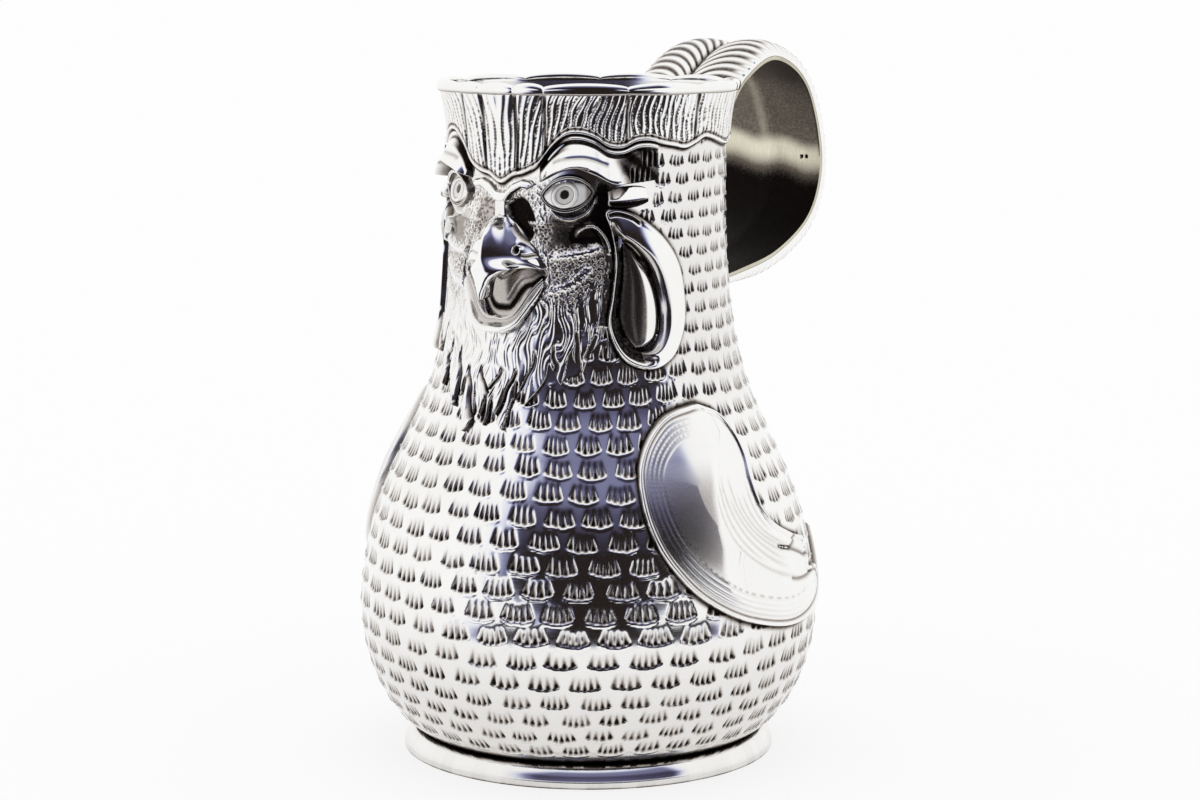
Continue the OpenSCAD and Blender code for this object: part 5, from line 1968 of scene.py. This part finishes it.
        # tarnish and painted shade: darker above and much darker below a painted bright band where the plate turns,
        # with a lighter painted streak above it and painted shade near the sides
        x, z = low[..., 0], low[..., 2]
        band = self.shade_z - 0.11 * x + 0.8 * np.sin(x / 3.1)
        tarnish = 0.44 * rise(0.5, 5.5, z - band) + 0.16 * rise(196, 203, z) + 0.98 * rise(-0.5, -12, z - band)
        tarnish *= 1 - 0.25 * bell(x + 1.5, 1.8) * (z > band)
        sheet.grid(low, soot + edge * (z > band) + tarnish, core=core)
        sheet.grid(top, 0.2, core=low)
        for k in (0, -1):
            rim = np.stack([top[k], low[k]], 0)
            sheet.grid(rim, 0.1, core=rim * [0.9, 1, 1])
        bench.put(sheet, BRUSHED, "tail_plate", crease=50)


@dataclass(frozen=True)
class Studio:
    """Pale floor, plain light all round and the camera of the photograph."""

    azimuth: float = 37.0
    distance: float = 858.0
    height: float = 232.6
    pitch: float = 8.486
    focal_px: float = 2894.0
    frame_px: float = 1200.0
    axis_px: float = 588.3
    table_edge: float = 230.0
    table_glow: float = 0.76
    room_r: float = 1800.0
    far_m: tuple[float, float] = (0.5, 0.95)
    soft: float = 13.0
    top: tuple[float, float] = (43.0, 56.0)
    swings: tuple[float, float] = (-72, 68)
    left: float = -52
    left_shift: float = 30
    right: float = 61
    right_shift: float = 34
    low_climb: tuple[float, float] = (2.0, 9.0)
    high_climb: tuple[float, float] = (34.0, 48.0)
    pale_climb: tuple[float, float] = (18.0, 42.0)
    pale: float = 0.36
    room_tones: tuple = (
        (0, (1, 1, 1)), (0.28, (0.76, 0.79, 0.94)), (0.55, (0.27, 0.28, 0.46)), (0.78, (0.075, 0.07, 0.13)),
        (1, (0.02, 0.015, 0.014)),
    )  # fmt: skip

    def camera(self) -> None:
        """Adds the camera."""
        data = bpy.data.cameras.new("camera")
        data.sensor_width, data.lens = 36, 36 * self.focal_px / self.frame_px
        data.shift_x = (self.frame_px / 2 - self.axis_px) / self.frame_px
        data.clip_start, data.clip_end = 0.01, 100
        a = math.radians(self.azimuth)
        spot = bpy.data.objects.new("camera", data)
        spot.location = Vector((math.sin(a), -math.cos(a), self.height / self.distance)) * self.distance * MM
        spot.rotation_euler = (math.radians(90 - self.pitch), 0, a)
        bpy.context.scene.collection.objects.link(spot)
        bpy.context.scene.camera = spot

    def room(self) -> None:
        """Adds the dark room that the tent's opening shows to the silver, from the table's edge upwards."""
        swing = np.radians(np.linspace(*self.swings, 40) + self.azimuth)
        climb = np.radians(np.linspace(0, self.top[1] + 6, 24))
        radii = np.concatenate([[self.table_edge, self.table_edge * 2], self.room_r * np.cos(climb)])
        heights = np.concatenate([[1, 1], 1 + self.room_r * np.sin(climb)])
        points = np.stack([
            np.outer(np.sin(swing), radii),
            -np.outer(np.cos(swing), radii),
            np.broadcast_to(heights, (len(swing), len(heights))),
        ], -1)
        wall = Sheet("room").grid(points, inwards=True).build()
        material = bpy.data.materials.new("Dark room")
        paint = Paint(material)
        x, y, z = paint.parts(paint.node("ShaderNodeTexCoord", output="Object"))
        a = math.radians(self.azimuth)
        # direction of each point, in degrees
        ahead = x * math.sin(a) - y * math.cos(a)
        aside = x * math.cos(a) + y * math.sin(a)
        reach = (x * x + y * y) ** 0.5
        swing, climb = paint.angle(aside, ahead), paint.angle(z, reach)
        # soft edges, which draw in over the table
        far = reach.rise(*self.far_m) * (1 - climb.rise(*self.low_climb))
        edge = self.left + self.left_shift * far + 7 * climb.rise(*self.low_climb) + 15 * climb.rise(*self.high_climb)
        left = edge * -1.0 + swing
        right = swing * -1.0 + (self.right - self.right_shift * far)
        sides = left.rise(-self.soft, self.soft) * right.rise(-self.soft / 2, self.soft / 2)
        top = (climb * -1.0).rise(-self.top[1], -self.top[0]) * (1 - self.pale * climb.rise(*self.pale_climb))
        dark = sides * top * reach.rise(self.table_edge * MM * 1.05, self.table_edge * MM * 1.3)
        colour = paint.node("ShaderNodeValToRGB", {"stops": self.room_tones}, {0: dark})
        shine = paint.node("ShaderNodeEmission", {}, {"Color": colour, "Strength": 1.0})
        paint.node("ShaderNodeOutputMaterial", {}, {"Surface": shine})
        wall.data.materials.append(material)
        wall.visible_camera = wall.visible_diffuse = wall.visible_shadow = False

    def floor(self) -> None:
        """Adds the white table, which keeps the jug's shadow."""
        ring = np.radians(np.arange(0, 360, 5))[:, None]
        radii = np.array([0.01, 200, 1000, 6000, 40000])
        points = np.stack([np.sin(ring) * radii, -np.cos(ring) * radii, 0 * ring * radii], -1)
        plain = Sheet("floor").grid(points, around=True, core=points - [0, 0, 1]).build()
        material = bpy.data.materials.new("White table")
        paint = Paint(material)
        matt = paint.node("ShaderNodeBsdfDiffuse", {}, {"Color": (0.95, 0.95, 0.955, 1)})
        glow = paint.node("ShaderNodeEmission", {}, {"Color": (1, 1, 1, 1), "Strength": 1.0})
        rays = ("Is Camera Ray", "Is Glossy Ray", "Is Transmission Ray")
        path = paint.node("ShaderNodeLightPath", output=rays[0]).socket.node
        seen = sum(Shade(paint, path.outputs[name]) for name in rays)
        both = paint.node("ShaderNodeMixShader", {}, {0: (seen * self.table_glow).clip(), 1: matt, 2: glow})
        paint.node("ShaderNodeOutputMaterial", {}, {"Surface": both})
        plain.data.materials.append(material)

    def light(self) -> None:
        """Lights the jug from a plain white tent all round."""
        world = bpy.data.worlds.new("tent")
        bpy.context.scene.world = world
        paint = Paint(world)
        shine = paint.node("ShaderNodeBackground", {}, {"Color": (1, 1, 1, 1), "Strength": 1.0})
        paint.node("ShaderNodeOutputWorld", {}, {"Surface": shine})
        bpy.context.scene.view_settings.view_transform = "Standard"


def main() -> None:
    """Builds every piece and the studio."""
    logging.basicConfig(level=logging.INFO, format="%(message)s")
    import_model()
    jug, bench, studio = Jug(), Bench(), Studio()
    studio.camera()
    for part in (Body, Foot, Crest, Brow, Eyes, Beak, Cheeks, Beard, EarLobes, Wings, Tail):
        part(jug).build(bench)
    studio.floor()
    studio.room()
    studio.light()


if __name__ == "__main__":
    main()
